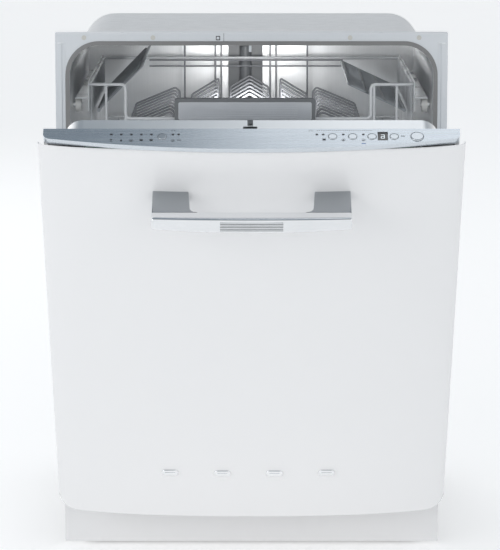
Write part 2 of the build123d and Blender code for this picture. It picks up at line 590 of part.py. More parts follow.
def make_controls():
    """Control strip on the door's top edge with its buttons, display and board."""
    half = FASCIA_HALF
    plan = make_face([
        Line((-half, DOOR_PLANE - 2), (half, DOOR_PLANE - 2)),
        Line((half, DOOR_PLANE - 2), (half, PANEL_EDGE + 3)),
        ThreePointArc((half, PANEL_EDGE + 3), (0, FASCIA_FRONT), (-half, PANEL_EDGE + 3)),
        Line((-half, PANEL_EDGE + 3), (-half, DOOR_PLANE - 2)),
    ])
    plan = fillet(plan.vertices().sort_by(Axis.Y)[:2], 10)
    low = PANEL_TOP + 0.2
    strip = Pos(0, 0, low) * extrude(plan, FASCIA_TOP - low)
    side = Polygon(
        (DOOR_PLANE, low), (DOOR_PLANE, FASCIA_TOP), (FASCIA_FRONT - 2, FASCIA_TOP - FASCIA_DROP),
        (FASCIA_FRONT - 2, low), align=None,
    )
    strip = strip & sideways(side, -300, 300)
    hollow = block(-284, 284, -24, -8, low - 1, low + 4)
    strip -= hollow
    for x in ROUND_BUTTONS.values():
        strip -= disc(x, BUTTON_Y, low - 1, FASCIA_TOP + 1, BUTTON_R + BUTTON_GAP)
    strip -= disc(POWER_X, BUTTON_Y, low - 1, FASCIA_TOP + 1, POWER_R + BUTTON_GAP)
    wx, wy = DISPLAY_W / 2, DISPLAY_D / 2
    strip -= block(
        DISPLAY_X - wx - 0.2, DISPLAY_X + wx + 0.2, DISPLAY_Y - wy - 0.2, DISPLAY_Y + wy + 0.2,
        low - 1, FASCIA_TOP + 1,
    )
    keep("control_fascia", strip, door=True)

    glass = block(DISPLAY_X - wx, DISPLAY_X + wx, DISPLAY_Y - wy, DISPLAY_Y + wy, 803, FASCIA_TOP - 2.6)
    keep("display_window", glass, door=True)

    top = FASCIA_TOP - 1.2
    for name, x in ROUND_BUTTONS.items():
        keep(name, fillet(disc(x, BUTTON_Y, 797, top, BUTTON_R).edges().sort_by(Axis.Z)[-1], 1), door=True)
    power = disc(POWER_X, BUTTON_Y, 797, top + 0.6, POWER_R)
    keep("button_power", fillet(power.edges().sort_by(Axis.Z)[-1], 1.4), door=True)

    board = block(-235, 240, -30, -8, 786, 787.8)
    for x in (*ROUND_BUTTONS.values(), POWER_X):
        board += block(x - 4, x + 4, BUTTON_Y - 4, BUTTON_Y + 4, 787.8, 794.5)
    keep("control_board", board, door=True)

    for_cut = fuse([disc(x, BUTTON_Y, 780, 803, BUTTON_R + 1) for x in ROUND_BUTTONS.values()]
                   + [disc(POWER_X, BUTTON_Y, 780, 803, POWER_R + 1)])
    NODES["outer_panel"] = [s - for_cut for s in NODES["outer_panel"]]

    latch = block(SLOT_X - 9.5, SLOT_X + 9.5, SLOT_FRONT + 0.5, SLOT_BACK - 0.5, 765, 787)
    keep("door_latch", latch, door=True)


def make_handle(panel):
    """Chrome bow handle: two blocks and the bar across them, and four plain studs low on the door."""
    low = HANDLE_TOP - HANDLE_TALL
    bar = block(-HANDLE_HALF, HANDLE_HALF, HANDLE_FRONT, HANDLE_FRONT + BAR_DEPTH, low, HANDLE_TOP)
    belly = upright(
        make_face([
            ThreePointArc((-HANDLE_HALF, low + 5), (0, low), (HANDLE_HALF, low + 5)),
            Line((HANDLE_HALF, low + 5), (HANDLE_HALF, HANDLE_TOP)),
            Line((HANDLE_HALF, HANDLE_TOP), (-HANDLE_HALF, HANDLE_TOP)),
            Line((-HANDLE_HALF, HANDLE_TOP), (-HANDLE_HALF, low + 5)),
        ]),
        HANDLE_FRONT - 1,
        HANDLE_FRONT + BAR_DEPTH + 1,
    )
    keep("handle_bar", bar & belly, door=True)
    inner = HANDLE_HALF - POST_WIDTH
    post = block(inner, HANDLE_HALF, HANDLE_FRONT + BAR_DEPTH, PANEL_EDGE, low + 5, HANDLE_TOP)
    keep("handle_posts", *both_sides(post - panel), door=True)

    studs = []
    w, h = STUD_SIZE
    for i in range(4):
        x = CENTRE_X / 2 + 80 * (i - 1.5)
        stud = upright(Pos(x, STUD_Z) * SlotOverall(w, h), PANEL_MIDDLE - 3, PANEL_EDGE)
        studs.append(stud - panel)
    keep("front_studs", *studs, door=True)


def make_hinge_arms():
    """Door arms that turn on the cabinet pins and pull the balance springs."""
    y, z = HINGE_Y, HINGE_Z
    arm = rod((291, y, z), (294, y, z), 9)
    arm += block(291, 294, -19, -6, z - 12, 300)
    arm += block(291, 294, -19, y, z - 9, z + 9)
    lever = Polygon((y - 8, z), (y + 8, z), (y + 15, z - 44), (y + 5, z - 44), align=None)
    arm += sideways(lever, 291, 294)
    arm -= rod((280, y, z), (300, y, z), 3 + RUNNING_GAP)
    arm -= rod((280, y + 10, z - 40), (300, y + 10, z - 40), 1.5)
    keep("hinge_arms", *both_sides(arm), door=True)


# ---- assembly -----------------------------------------------------------------------------------
def main():
    """Build every piece, swing the door ajar, centre the model and write one file per piece."""
    make_tub()
    make_front_frame()
    make_side_channels()
    make_gasket()
    make_blanket()
    make_base()
    make_brackets()
    make_springs()
    make_sump()
    make_base_machinery()
    make_rear_duct()
    make_rollers()
    keep("lower_spray_arm", spray_arm(CENTRE_X, ARM_Y, 139, 200, (9 + RUNNING_GAP, 20)))
    make_upper_basket()
    keep("cup_shelf_left", make_shelf(-1, SHELF_LEFT_TILT))
    keep("cup_shelf_right", make_shelf(1, SHELF_RIGHT_TILT))
    make_lower_basket()
    make_door_liner()
    panel = make_outer_panel()
    make_dispenser()
    make_controls()
    make_handle(panel)
    make_hinge_arms()

    hinge = Axis((0, HINGE_Y, HINGE_Z), (1, 0, 0))
    for name in DOOR_NODES:
        NODES[name] = [s.rotate(hinge, DOOR_AJAR) for s in NODES[name]]
    boxes = [s.bounding_box() for solids in NODES.values() for s in solids]
    middle = (min(b.min.Y for b in boxes) + max(b.max.Y for b in boxes)) / 2
    shift = Pos(0, -middle, 0)
    print("moved along Y by", round(-middle, 3), "pieces", len(NODES))
    os.makedirs("parts", exist_ok=True)
    for name, solids in NODES.items():
        moved = [shift * s for s in solids]
        export_step(Compound(moved), f"parts/{name}.step")


main()
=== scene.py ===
import json
import logging
import math
from collections.abc import Iterable, Sequence
from dataclasses import dataclass
from enum import Enum
from functools import cache

import bmesh
import bpy
from mathutils import Matrix, Vector


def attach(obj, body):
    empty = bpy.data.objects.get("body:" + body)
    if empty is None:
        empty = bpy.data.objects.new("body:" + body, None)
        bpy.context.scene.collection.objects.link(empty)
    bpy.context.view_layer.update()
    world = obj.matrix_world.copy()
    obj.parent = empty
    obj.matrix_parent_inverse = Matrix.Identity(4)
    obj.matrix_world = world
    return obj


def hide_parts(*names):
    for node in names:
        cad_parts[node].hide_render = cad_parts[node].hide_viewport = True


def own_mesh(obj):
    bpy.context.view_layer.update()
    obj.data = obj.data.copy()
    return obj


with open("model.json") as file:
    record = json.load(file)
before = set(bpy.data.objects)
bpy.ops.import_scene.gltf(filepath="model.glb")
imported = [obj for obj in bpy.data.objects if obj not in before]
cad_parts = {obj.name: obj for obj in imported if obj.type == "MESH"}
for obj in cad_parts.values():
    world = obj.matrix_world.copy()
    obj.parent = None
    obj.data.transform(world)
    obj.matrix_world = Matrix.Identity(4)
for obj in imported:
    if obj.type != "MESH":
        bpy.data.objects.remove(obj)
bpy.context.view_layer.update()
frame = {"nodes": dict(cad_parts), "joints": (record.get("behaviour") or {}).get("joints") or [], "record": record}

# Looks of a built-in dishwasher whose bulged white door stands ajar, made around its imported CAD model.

LOG = logging.getLogger("dishwasher")
MM = 0.001
PIN_BEHIND_FRONT = 2.0
SAME_SPOT = 0.001
Colour = tuple[float, float, float]
Point = tuple[float, float, float]
JOINTS = {joint["name"]: joint for joint in frame["joints"]}
SLOT_OF = {part["node"]: part["material_slot"] for part in frame["record"]["subparts"]}


# ---- where things are drawn ---------------------------------------------------------------------
@dataclass(frozen=True)
class Station:
    """A place to draw in: millimetres, door shut, front plane of the tub at Y = 0.

    Args:
        body: The CAD body that pieces drawn here ride on.
        to_row: Takes a drawn point to its place in metres.
    """

    body: str
    to_row: Matrix

    def box(self, node: str) -> tuple[Vector, Vector]:
        """Lowest and highest corner of a CAD node as drawn here.

        Args:
            node: The CAD node's name.

        Returns:
            The two corners in drawing millimetres.
        """
        back = self.to_row.inverted()
        spots = [back @ vertex.co for vertex in frame["nodes"][node].data.vertices]
        low = Vector([min(spot[axis] for spot in spots) for axis in range(3)])
        high = Vector([max(spot[axis] for spot in spots) for axis in range(3)])
        return low, high

    def riding(self, body: str) -> "Station":
        """The same place, for pieces that ride on another body."""
        return Station(body, self.to_row)


def make_stations() -> tuple[Station, Station]:
    """The cabinet's and the door's places, from the door hinge.

    Returns:
        The cabinet station and the door station.
    """
    hinge = JOINTS["door_hinge"]
    pin = Vector(hinge["pos_m"])
    ajar = math.radians(-hinge["range_deg"][0])
    drawn = Matrix.Translation((0, pin.y - PIN_BEHIND_FRONT * MM, 0)) @ Matrix.Scale(MM, 4)
    swing = Matrix.Translation(pin) @ Matrix.Rotation(ajar, 4, "X") @ Matrix.Translation(-pin)
    return Station("cabinet", drawn), Station("door", swing @ drawn)


# ---- shader nodes -------------------------------------------------------------------------------
class Value:
    """A socket in a material, on which arithmetic adds Math nodes."""

    def __init__(self, graph: "Graph", socket: bpy.types.NodeSocket) -> None:
        """Keeps the socket and the graph that it belongs to."""
        self.graph = graph
        self.socket = socket

    def _math(self, operation: str, first: "Value | float", second: "Value | float") -> "Value":
        """Adds one Math node."""
        return self.graph.node("ShaderNodeMath", {"operation": operation}, {0: first, 1: second})

    def __add__(self, other: "Value | float") -> "Value":
        """Sum."""
        return self._math("ADD", self, other)

    def __sub__(self, other: "Value | float") -> "Value":
        """Difference."""
        return self._math("SUBTRACT", self, other)

    def __rsub__(self, other: float) -> "Value":
        """Difference from a number."""
        return self._math("SUBTRACT", other, self)

    def __mul__(self, other: "Value | float") -> "Value":
        """Product."""
        return self._math("MULTIPLY", self, other)

    def __gt__(self, other: "Value | float") -> "Value":
        """1 where this is the greater, else 0."""
        return self._math("GREATER_THAN", self, other)

    __radd__ = __add__
    __rmul__ = __mul__


class Graph:
    """The node tree of one material, or of the room's light."""

    def __init__(self, owner: bpy.types.Material | bpy.types.World) -> None:
        """Empties the owner's tree."""
        self.owner = owner
        self.owner.use_nodes = True
        self.tree = self.owner.node_tree
        self.tree.nodes.clear()

    def node(
        self,
        kind: str,
        settings: dict[str, object] | None = None,
        inputs: dict[int | str, object] | None = None,
        output: int | str = 0,
    ) -> Value:
        """Adds a node.

        Args:
            kind: The node's type.
            settings: Its settings, or a ramp's stops under "stops".
            inputs: Values or links of its sockets.
            output: Which output to hand back.

        Returns:
            The chosen output.
        """
        made = self.tree.nodes.new(kind)
        for key, value in (settings or {}).items():
            if key == "stops":
                self._set_stops(made.color_ramp, value)
            else:
                setattr(made, key, value)
        for key, value in (inputs or {}).items():
            if isinstance(value, Value):
                self.tree.links.new(value.socket, made.inputs[key])
            else:
                made.inputs[key].default_value = value
        return Value(self, made.outputs[output] if made.outputs else None)

    @staticmethod
    def _set_stops(ramp: bpy.types.ColorRamp, stops: Sequence[tuple[float, Colour]]) -> None:
        """Gives a ramp its stops, each a place and a colour."""
        while len(ramp.elements) < len(stops):
            ramp.elements.new(1.0)
        for element, (place, colour) in zip(ramp.elements, stops):
            element.position = place
            element.color = (*colour, 1.0)

    def spot(self, scale: Point = (1.0, 1.0, 1.0)) -> Value:
        """Object coordinates, stretched."""
        where = self.node("ShaderNodeTexCoord", output="Object")
        return self.node("ShaderNodeMapping", inputs={"Vector": where, "Scale": scale})

    def noise(self, scale: float, stretch: Point = (1.0, 1.0, 1.0), detail: float = 3.0) -> Value:
        """Noise over the piece, about 0.5 in the middle."""
        place = self.spot(stretch)
        return self.node(
            "ShaderNodeTexNoise", inputs={"Vector": place, "Scale": scale, "Detail": detail}
        )

    def blend(self, share: Value, first: Colour, second: Colour) -> Value:
        """One colour going over into another."""
        return self.node(
            "ShaderNodeMix",
            {"data_type": "RGBA"},
            {0: share, 6: (*first, 1.0), 7: (*second, 1.0)},
            2,
        )

    def bump(self, height: Value, distance: float, strength: float = 1.0) -> Value:
        """Relief from a height."""
        inputs = {"Height": height, "Distance": distance, "Strength": strength}
        return self.node("ShaderNodeBump", inputs=inputs)

    def surface(self, inputs: dict[str, object]) -> bpy.types.Material:
        """Ends the material in a Principled surface.

        Args:
            inputs: Values or links of the surface's sockets.

        Returns:
            The finished material.
        """
        shader = self.node("ShaderNodeBsdfPrincipled", inputs=inputs)
        self.node("ShaderNodeOutputMaterial", inputs={"Surface": shader})
        return self.owner


def tint(colour: Colour, share: float) -> Colour:
    """The colour made lighter or darker by a share."""
    return tuple(min(1.0, part * share) for part in colour)


class Grain(Enum):
    """Which way a brushed surface is brushed."""

    ACROSS = (4.0, 700.0, 700.0)
    UPRIGHT = (700.0, 700.0, 4.0)
    DEEP = (700.0, 4.0, 700.0)


@dataclass(frozen=True)
class Brushed:
    """Brushed or rolled sheet steel.

    Args:
        name: The material's name.
        colour: Its middle colour.
        roughness: Its middle roughness.
        grain: Which way the brush lines run.
        depth: How deep they are, in metres.
        cloud: How much the colour changes over the sheet.
    """

    name: str
    colour: Colour
    roughness: float = 0.3
    grain: Grain = Grain.ACROSS
    depth: float = 0.00002
    cloud: float = 0.06

    @cache
    def material(self) -> bpy.types.Material:
        """Brush lines over slow clouds in tone and gloss."""
        graph = Graph(bpy.data.materials.new(self.name))
        lines = graph.noise(1.0, self.grain.value, 2.0)
        clouds = graph.noise(7.0)
        tone = clouds * 0.6 + lines * 0.4
        return graph.surface({
            "Base Color": graph.blend(
                tone, tint(self.colour, 1 - 2 * self.cloud), tint(self.colour, 1 + 2 * self.cloud)
            ),
            "Metallic": 1.0,
            "Roughness": (lines - 0.5) * 0.16 + (clouds - 0.5) * 0.1 + self.roughness,
            "Normal": graph.bump(lines, self.depth),
        })


@dataclass(frozen=True)
class Plated:
    """Polished chrome plating with the faint haze of handling.

    Args:
        name: The material's name.
        colour: The plating's colour.
        roughness: Its roughness where clean.
    """

    name: str
    colour: Colour
    roughness: float = 0.05

    @cache
    def material(self) -> bpy.types.Material:
        """Haze and fine wiping marks in the gloss."""
        graph = Graph(bpy.data.materials.new(self.name))
        haze = graph.noise(22.0, detail=5.0)
        wiped = graph.noise(1.0, (60.0, 420.0, 420.0), 2.0)
        return graph.surface({
            "Base Color": graph.blend(haze, tint(self.colour, 0.95), tint(self.colour, 1.05)),
            "Metallic": 1.0,
            "Roughness": haze * wiped * 0.14 + self.roughness,
            "Normal": graph.bump(haze, 0.00002),
        })


@dataclass(frozen=True)
class Enamelled:
    """Gloss paint on pressed steel, with a trace of orange peel.

    Args:
        name: The material's name.
        colour: The paint's colour.
        roughness: Its middle roughness.
        coat: Weight of the clear coat.
    """

    name: str
    colour: Colour
    roughness: float = 0.16
    coat: float = 0.5

    @cache
    def material(self) -> bpy.types.Material:
        """Peel in the relief, and a slow change in tone and gloss."""
        graph = Graph(bpy.data.materials.new(self.name))
        peel = graph.noise(260.0, detail=2.0)
        slow = graph.noise(3.0)
        return graph.surface({
            "Base Color": graph.blend(slow, tint(self.colour, 0.99), tint(self.colour, 1.01)),
            "Roughness": (slow - 0.5) * 0.08 + self.roughness,
            "Coat Weight": self.coat,
            "Coat Roughness": 0.05,
            "Normal": graph.bump(peel, 0.00003),
        })


@dataclass(frozen=True)
class Moulded:
    """Moulded plastic or rubber with a fine spark-eroded grain.

    Args:
        name: The material's name.
        colour: The moulding's colour.
        roughness: Its middle roughness.
        grain: Depth of the grain, in metres.
        coat: Weight of a glossy skin.
        metallic: Share of metallic paint.
    """

    name: str
    colour: Colour
    roughness: float = 0.45
    grain: float = 0.00006
    coat: float = 0.0
    metallic: float = 0.0

    @cache
    def material(self) -> bpy.types.Material:
        """Fine grain, flow clouds and rubbed places."""
        graph = Graph(bpy.data.materials.new(self.name))
        fine = graph.noise(1400.0, detail=2.0)
        flow = graph.noise(14.0, detail=4.0)
        return graph.surface({
            "Base Color": graph.blend(flow, tint(self.colour, 0.88), tint(self.colour, 1.12)),
            "Metallic": self.metallic,
            "Roughness": (flow - 0.5) * 0.2 + (fine - 0.5) * 0.1 + self.roughness,
            "Coat Weight": self.coat,
            "Normal": graph.bump(fine, self.grain),
        })


@dataclass(frozen=True)
class Felted:
    """Matted fibres pressed into a blanket.

    Args:
        name: The material's name.
        colour: The fibres' middle colour.
    """

    name: str
    colour: Colour

    @cache
    def material(self) -> bpy.types.Material:
        """Fibres, tufts and pressed patches."""
        graph = Graph(bpy.data.materials.new(self.name))
        fibres = graph.noise(700.0, (1.0, 0.35, 1.0), 6.0)
        tufts = graph.noise(40.0, detail=5.0)
        return graph.surface({
            "Base Color": graph.blend(
                fibres * 0.6 + tufts * 0.4, tint(self.colour, 0.8), tint(self.colour, 1.2)
            ),
            "Roughness": tufts * 0.1 + 0.85,
            "Normal": graph.bump(fibres + tufts, 0.0004),
        })


@dataclass(frozen=True)
class Perforated:
    """Thin steel sheet punched with rows of fine holes.

    Args:
        name: The material's name.
        colour: The sheet's colour.
        pitch: From hole to hole, in metres.
    """

    name: str
    colour: Colour
    pitch: float = 0.0022

    @cache
    def material(self) -> bpy.types.Material:
        """Round holes in a square grid, painted near-black: painted shade seen through them."""
        graph = Graph(bpy.data.materials.new(self.name))
        per_metre = 1 / self.pitch
        cell = graph.node(
            "ShaderNodeTexVoronoi",
            {"feature": "F1"},
            {"Vector": graph.spot(), "Scale": per_metre, "Randomness": 0.0},
        )
        solid = cell > 0.33
        scuffs = graph.noise(60.0)
        return graph.surface({
            # Near-black in the holes: painted shade seen through them.
            "Base Color": graph.blend(solid, (0.02, 0.02, 0.02), self.colour),
            "Metallic": solid,
            "Roughness": scuffs * 0.2 + 0.25,
            "Normal": graph.bump(solid, 0.0002),
        })


@dataclass(frozen=True)
class Etched:
    """A coated board with its conducting tracks.

    Args:
        name: The material's name.
        colour: The lacquer's colour.
    """

    name: str
    colour: Colour

    @cache
    def material(self) -> bpy.types.Material:
        """Lighter tracks under the lacquer."""
        graph = Graph(bpy.data.materials.new(self.name))
        where = graph.spot((1.0, 3.0, 1.0))
        cell = graph.node(
            "ShaderNodeTexVoronoi",
            {"feature": "F1"},
            {"Vector": where, "Scale": 140.0},
        )
        tracks = cell > 0.5
        return graph.surface({
            "Base Color": graph.blend(tracks, self.colour, tint(self.colour, 1.9)),
            "Roughness": tracks * 0.15 + 0.25,
            "Coat Weight": 0.4,
            "Normal": graph.bump(tracks, 0.00005),
        })


@dataclass(frozen=True)
class Lit:
    """A small lamp or a lit segment behind a window.

    Args:
        name: The material's name.
        colour: The light's colour.
        power: The strength of its glow.
    """

    name: str
    colour: Colour
    power: float = 1.0

    @cache
    def material(self) -> bpy.types.Material:
        """A glow, a little uneven."""
        graph = Graph(bpy.data.materials.new(self.name))
        uneven = graph.noise(900.0)
        glow = graph.blend(uneven, tint(self.colour, 0.8), self.colour)
        return graph.surface({
            "Base Color": glow,
            "Roughness": uneven * 0.1 + 0.3,
            "Emission Color": glow,
            "Emission Strength": self.power,
        })


Finish = Brushed | Plated | Enamelled | Moulded | Felted | Perforated | Etched | Lit

FINISHES: dict[str, Finish] = {
    "tub_steel": Brushed("tub_steel", (0.88, 0.89, 0.90), 0.36, Grain.UPRIGHT, 0.000006),
    "frame_steel": Brushed("frame_steel", (0.68, 0.71, 0.74), 0.38, Grain.UPRIGHT, 0.000005, 0.03),
    "fascia_steel": Brushed("fascia_steel", (0.70, 0.74, 0.78), 0.26, Grain.ACROSS, 0.000004, 0.03),
    "filter_steel": Perforated("filter_steel", (0.55, 0.57, 0.60)),
    "zinc_steel": Brushed("zinc_steel", (0.60, 0.60, 0.57), 0.42, Grain.DEEP, 0.00003, 0.1),
    "spring_steel": Brushed("spring_steel", (0.34, 0.34, 0.35), 0.35, Grain.DEEP, 0.00001),
    "seal_rubber": Moulded("seal_rubber", (0.24, 0.24, 0.24), 0.5, 0.00008),
    "hose_rubber": Moulded("hose_rubber", (0.07, 0.07, 0.075), 0.55, 0.00012),
    "blanket": Felted("blanket", (0.86, 0.86, 0.86)),
    "tray_plastic": Moulded("tray_plastic", (0.06, 0.062, 0.066), 0.5, 0.0001),
    "foot_plastic": Moulded("foot_plastic", (0.1, 0.1, 0.105), 0.5),
    "dark_plastic": Moulded("dark_plastic", (0.045, 0.047, 0.052), 0.42),
    "white_plastic": Moulded("white_plastic", (0.82, 0.82, 0.80), 0.35, 0.00003, 0.15),
    "grey_plastic": Moulded("grey_plastic", (0.17, 0.18, 0.19), 0.42, 0.00004, 0.1),
    "clear_plastic": Moulded("clear_plastic", (0.62, 0.66, 0.68), 0.28, 0.00004, 0.3),
    "shelf_plastic": Moulded("shelf_plastic", (0.36, 0.385, 0.41), 0.38, 0.00004, 0.2),
    "coated_wire": Moulded("coated_wire", (0.72, 0.74, 0.76), 0.28, 0.00002, 0.4),
    "white_enamel": Enamelled("white_enamel", (0.86, 0.86, 0.865)),
    "chrome": Plated("chrome", (0.86, 0.87, 0.88)),
    "button_metal": Plated("button_metal", (0.60, 0.63, 0.66), 0.2),
    "board": Etched("board", (0.03, 0.16, 0.07)),
    "dark_glass": Moulded("dark_glass", (0.012, 0.012, 0.015), 0.1, 0.00001, 0.8),
}
PRINT = Moulded("printed_marks", (0.02, 0.022, 0.026), 0.6, 0.00001)
BLUE_PRINT = Moulded("printed_blue", (0.10, 0.20, 0.48), 0.5, 0.00001)
LAMP = Moulded("lamp_lens", (0.03, 0.03, 0.035), 0.3, 0.00001)
DIGIT = Lit("display_digit", (0.75, 0.82, 0.85), 0.8)
SILVER = Moulded("silver_paint", (0.56, 0.58, 0.61), 0.34, 0.00003, 0.2, 0.5)
GREY_WIRE = Moulded("grey_wire", (0.30, 0.31, 0.33), 0.3, 0.00002, 0.3)
# Satin chrome for the handle posts, darker than the bar's: the satin gloss is real, the darker colour is painted
# shade of their tops.
SATIN_SHADE_CHROME = Plated("satin_chrome_painted_shade", (0.40, 0.42, 0.44), 0.16)
# Near-black chrome for the plate between the handle's finger ribs: painted shade in the grooves.
GROOVE_SHADE_CHROME = Plated("painted_groove_shade", (0.10, 0.11, 0.12), 0.3)
TAPE = Moulded("foil_tape", (0.55, 0.56, 0.58), 0.35, 0.0003, 0.0, 0.9)


# ---- mesh work ----------------------------------------------------------------------------------
@dataclass(frozen=True)
class Run:
    """The line that a wire follows.

    Args:
        points: Its ends and corners.
        bend: How far from a corner the wire starts to bend.
        closed: Whether it runs back into its start.
    """

    points: Sequence[Point]
    bend: float = 0.0
    closed: bool = False

    def softened(self) -> list[Vector]:
        """The control points of the smooth line, with a pair beside each corner."""
        spots = [Vector(point) for point in self.points]
        if not self.bend:
            return spots
        made = []
        for index, here in enumerate(spots):
            if not self.closed and index in (0, len(spots) - 1):
                made.append(here)
                continue
            ways = [spots[index - 1] - here, spots[(index + 1) % len(spots)] - here]
            before, after = [way.normalized() * min(self.bend, way.length * 0.49) for way in ways]
            made += [here + before, here, here + after]
        return made


class Facing(Enum):
    """The axis that a flat outline faces, and how its two sizes lie."""

    X = (1, 2, 0)
    Y = (0, 2, 1)
    Z = (0, 1, 2)


def round_off(
    mesh: bmesh.types.BMesh,
    parts: Iterable[bmesh.types.BMEdge | bmesh.types.BMVert],
    by: float,
    segments: int = 3,
    affect: str = "EDGES",
) -> None:
    """Rounds edges or corners.

    Args:
        mesh: The mesh that they are in.
        parts: The edges or corners.
        by: How far from them the rounding starts.
        segments: Its fineness.
        affect: "EDGES" or "VERTICES".
    """
    bmesh.ops.bevel(
        mesh, geom=list(parts), offset=by, offset_type="OFFSET", segments=segments,
        profile=0.5, affect=affect, material=-1,
    )


def add_block(mesh: bmesh.types.BMesh, middle: Vector, size: Vector) -> None:
    """Adds a rectangular block by its middle and size."""
    bmesh.ops.create_cube(mesh, size=1.0, matrix=Matrix.Translation(middle) @ Matrix.Diagonal((*size, 1.0)))


def cut_through(mesh: bmesh.types.BMesh, place: Point, facing: Point) -> None:
    """Cuts every face along a plane."""
    everything = [*mesh.verts, *mesh.edges, *mesh.faces]
    bmesh.ops.bisect_plane(mesh, geom=everything, dist=SAME_SPOT, plane_co=place, plane_no=facing)


class Workpiece:
    """A mesh in the making, drawn in a station's millimetres."""

    def __init__(self, station: Station) -> None:
        """Starts with nothing in it."""
        self.station = station
        self.bm = bmesh.new()

    def _take(self, part: bmesh.types.BMesh) -> None:
        """Adds a part that was made apart."""
        bmesh.ops.recalc_face_normals(part, faces=part.faces)
        mesh = bpy.data.meshes.new("part")
        part.to_mesh(mesh)
        part.free()
        self.bm.from_mesh(mesh)
        bpy.data.meshes.remove(mesh)

    def block(self, low: Point, high: Point, rounded: float = 0.0) -> "Workpiece":
        """Adds a rectangular block.

        Args:
            low: Its lowest corner.
            high: Its highest corner.
            rounded: Radius of its edges.

        Returns:
            This workpiece.
        """
        part = bmesh.new()
        size = Vector(high) - Vector(low)
        middle = (Vector(high) + Vector(low)) / 2
        add_block(part, middle, size)
        if rounded:
            round_off(part, part.edges, rounded)
        self._take(part)
        return self

    def disc(self, start: Point, end: Point, radius: float, rounded: float = 0.0) -> "Workpiece":
        """Adds a round bar or disc.

        Args:
            start: Middle of one end.
            end: Middle of the other end.
            radius: Its radius.
            rounded: Radius of the edge at its end.

        Returns:
            This workpiece.
        """
        part = bmesh.new()
        along = Vector(end) - Vector(start)
        turn = Vector((0, 0, 1)).rotation_difference(along).to_matrix().to_4x4()
        set_out = Matrix.Translation((Vector(start) + Vector(end)) / 2) @ turn
        bmesh.ops.create_cone(
            part, cap_ends=True, segments=24, radius1=radius, radius2=radius,
            depth=along.length, matrix=set_out,
        )
        if rounded:
            far = [
                edge for edge in part.edges
                if all((vert.co - Vector(end)).dot(along) > -SAME_SPOT for vert in edge.verts)
            ]
            round_off(part, far, rounded)
        self._take(part)
        return self

    def plate(
        self,
        outline: Sequence[tuple[float, float]],
        span: tuple[float, float],
        facing: Facing = Facing.Y,
        corners: Sequence[float] | float = 0.0,
        rounded: float = 0.0,
    ) -> "Workpiece":
        """Adds a flat outline made thick.

        Args:
            outline: Its corners, in the two sizes that it lies in.
            span: Where it starts and ends along the axis that it faces.
            facing: That axis.
            corners: Radius of each corner, or of all.
            rounded: Radius of the edge round its far side.

        Returns:
            This workpiece.
        """
        part = bmesh.new()
        first, second, third = facing.value
        radii = [corners] * len(outline) if isinstance(corners, (int, float)) else list(corners)
        starts = []
        for place in outline:
            spot = [0.0, 0.0, 0.0]
            spot[first], spot[second], spot[third] = (*place, span[0])
            starts.append(part.verts.new(spot))
        part.faces.new(starts)
        for corner, radius in zip(starts, radii):
            if radius:
                round_off(part, [corner], radius, 6, "VERTICES")
        grown = bmesh.ops.extrude_face_region(part, geom=list(part.faces))["geom"]
        caps = [item for item in grown if isinstance(item, bmesh.types.BMFace)]
        shift = [0.0, 0.0, 0.0]
        shift[third] = span[1] - span[0]
        bmesh.ops.translate(part, vec=shift, verts=[v for cap in caps for v in cap.verts])
        if rounded:
            round_off(part, {edge for cap in caps for edge in cap.edges}, rounded)
        self._take(part)
        return self

    def wires(self, runs: Iterable[Run], radius: float, sides: int = 1, steps: int = 4) -> "Workpiece":
        """Adds round wires.

        Args:
            runs: The lines that they follow.
            radius: Their radius.
            sides: Fineness of their section.
            steps: Fineness of their bends.

        Returns:
            This workpiece.
        """
        curve = bpy.data.curves.new("wires", "CURVE")
        curve.dimensions = "3D"
        curve.bevel_depth = radius
        curve.bevel_resolution = sides
        curve.use_fill_caps = True
        curve.resolution_u = steps
        for run in runs:
            points = run.softened()
            spline = curve.splines.new("NURBS")
            spline.points.add(len(points) - 1)
            for control, point in zip(spline.points, points):
                control.co = (*point, 1.0)
            spline.use_cyclic_u = run.closed
            spline.order_u = min(3, len(points))
            spline.use_endpoint_u = not run.closed
        line = bpy.data.objects.new("wires", curve)
        bpy.context.scene.collection.objects.link(line)
        mesh = bpy.data.meshes.new_from_object(line)
        self.bm.from_mesh(mesh)
        bpy.data.objects.remove(line)
        bpy.data.curves.remove(curve)
        bpy.data.meshes.remove(mesh)
        return self

    def move(self, matrix: Matrix) -> "Workpiece":
        """Moves everything made so far."""
        bmesh.ops.transform(self.bm, matrix=matrix, verts=self.bm.verts)
        return self

    def settle(
        self,
        name: str,
        finish: Finish,
        slot: str,
        stands_for: Sequence[str] = (),
        crease: float = 35.0,
    ) -> bpy.types.Object:
        """Sets the mesh in place, finishes it and lets it ride on its body.

        Args:
            name: The piece's name.
            finish: Its finish.
            slot: The record's material slot of the piece; not used.
            stands_for: CAD nodes that it replaces.
            crease: Sharpest angle, in degrees, that is still shaded round.

        Returns:
            The piece.
        """
        bmesh.ops.remove_doubles(self.bm, verts=self.bm.verts, dist=SAME_SPOT)
        bmesh.ops.recalc_face_normals(self.bm, faces=self.bm.faces)
        limit = math.radians(crease)
        for face in self.bm.faces:
            face.smooth = True
        for edge in self.bm.edges:
            edge.smooth = len(edge.link_faces) == 2 and edge.calc_face_angle() < limit
        self.bm.transform(self.station.to_row)
        mesh = bpy.data.meshes.new(name)
        self.bm.to_mesh(mesh)
        self.bm.free()
        mesh.materials.append(finish.material())
        piece = bpy.data.objects.new(name, mesh)
        bpy.context.scene.collection.objects.link(piece)
        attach(piece, self.station.body)
        if stands_for:
            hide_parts(*stands_for)
        LOG.info("%s: %d faces", name, len(mesh.polygons))
        return piece


def rectangle(low: tuple[float, float], high: tuple[float, float]) -> list[tuple[float, float]]:
    """The four corners of an upright rectangle."""
    return [low, (high[0], low[1]), high, (low[0], high[1])]


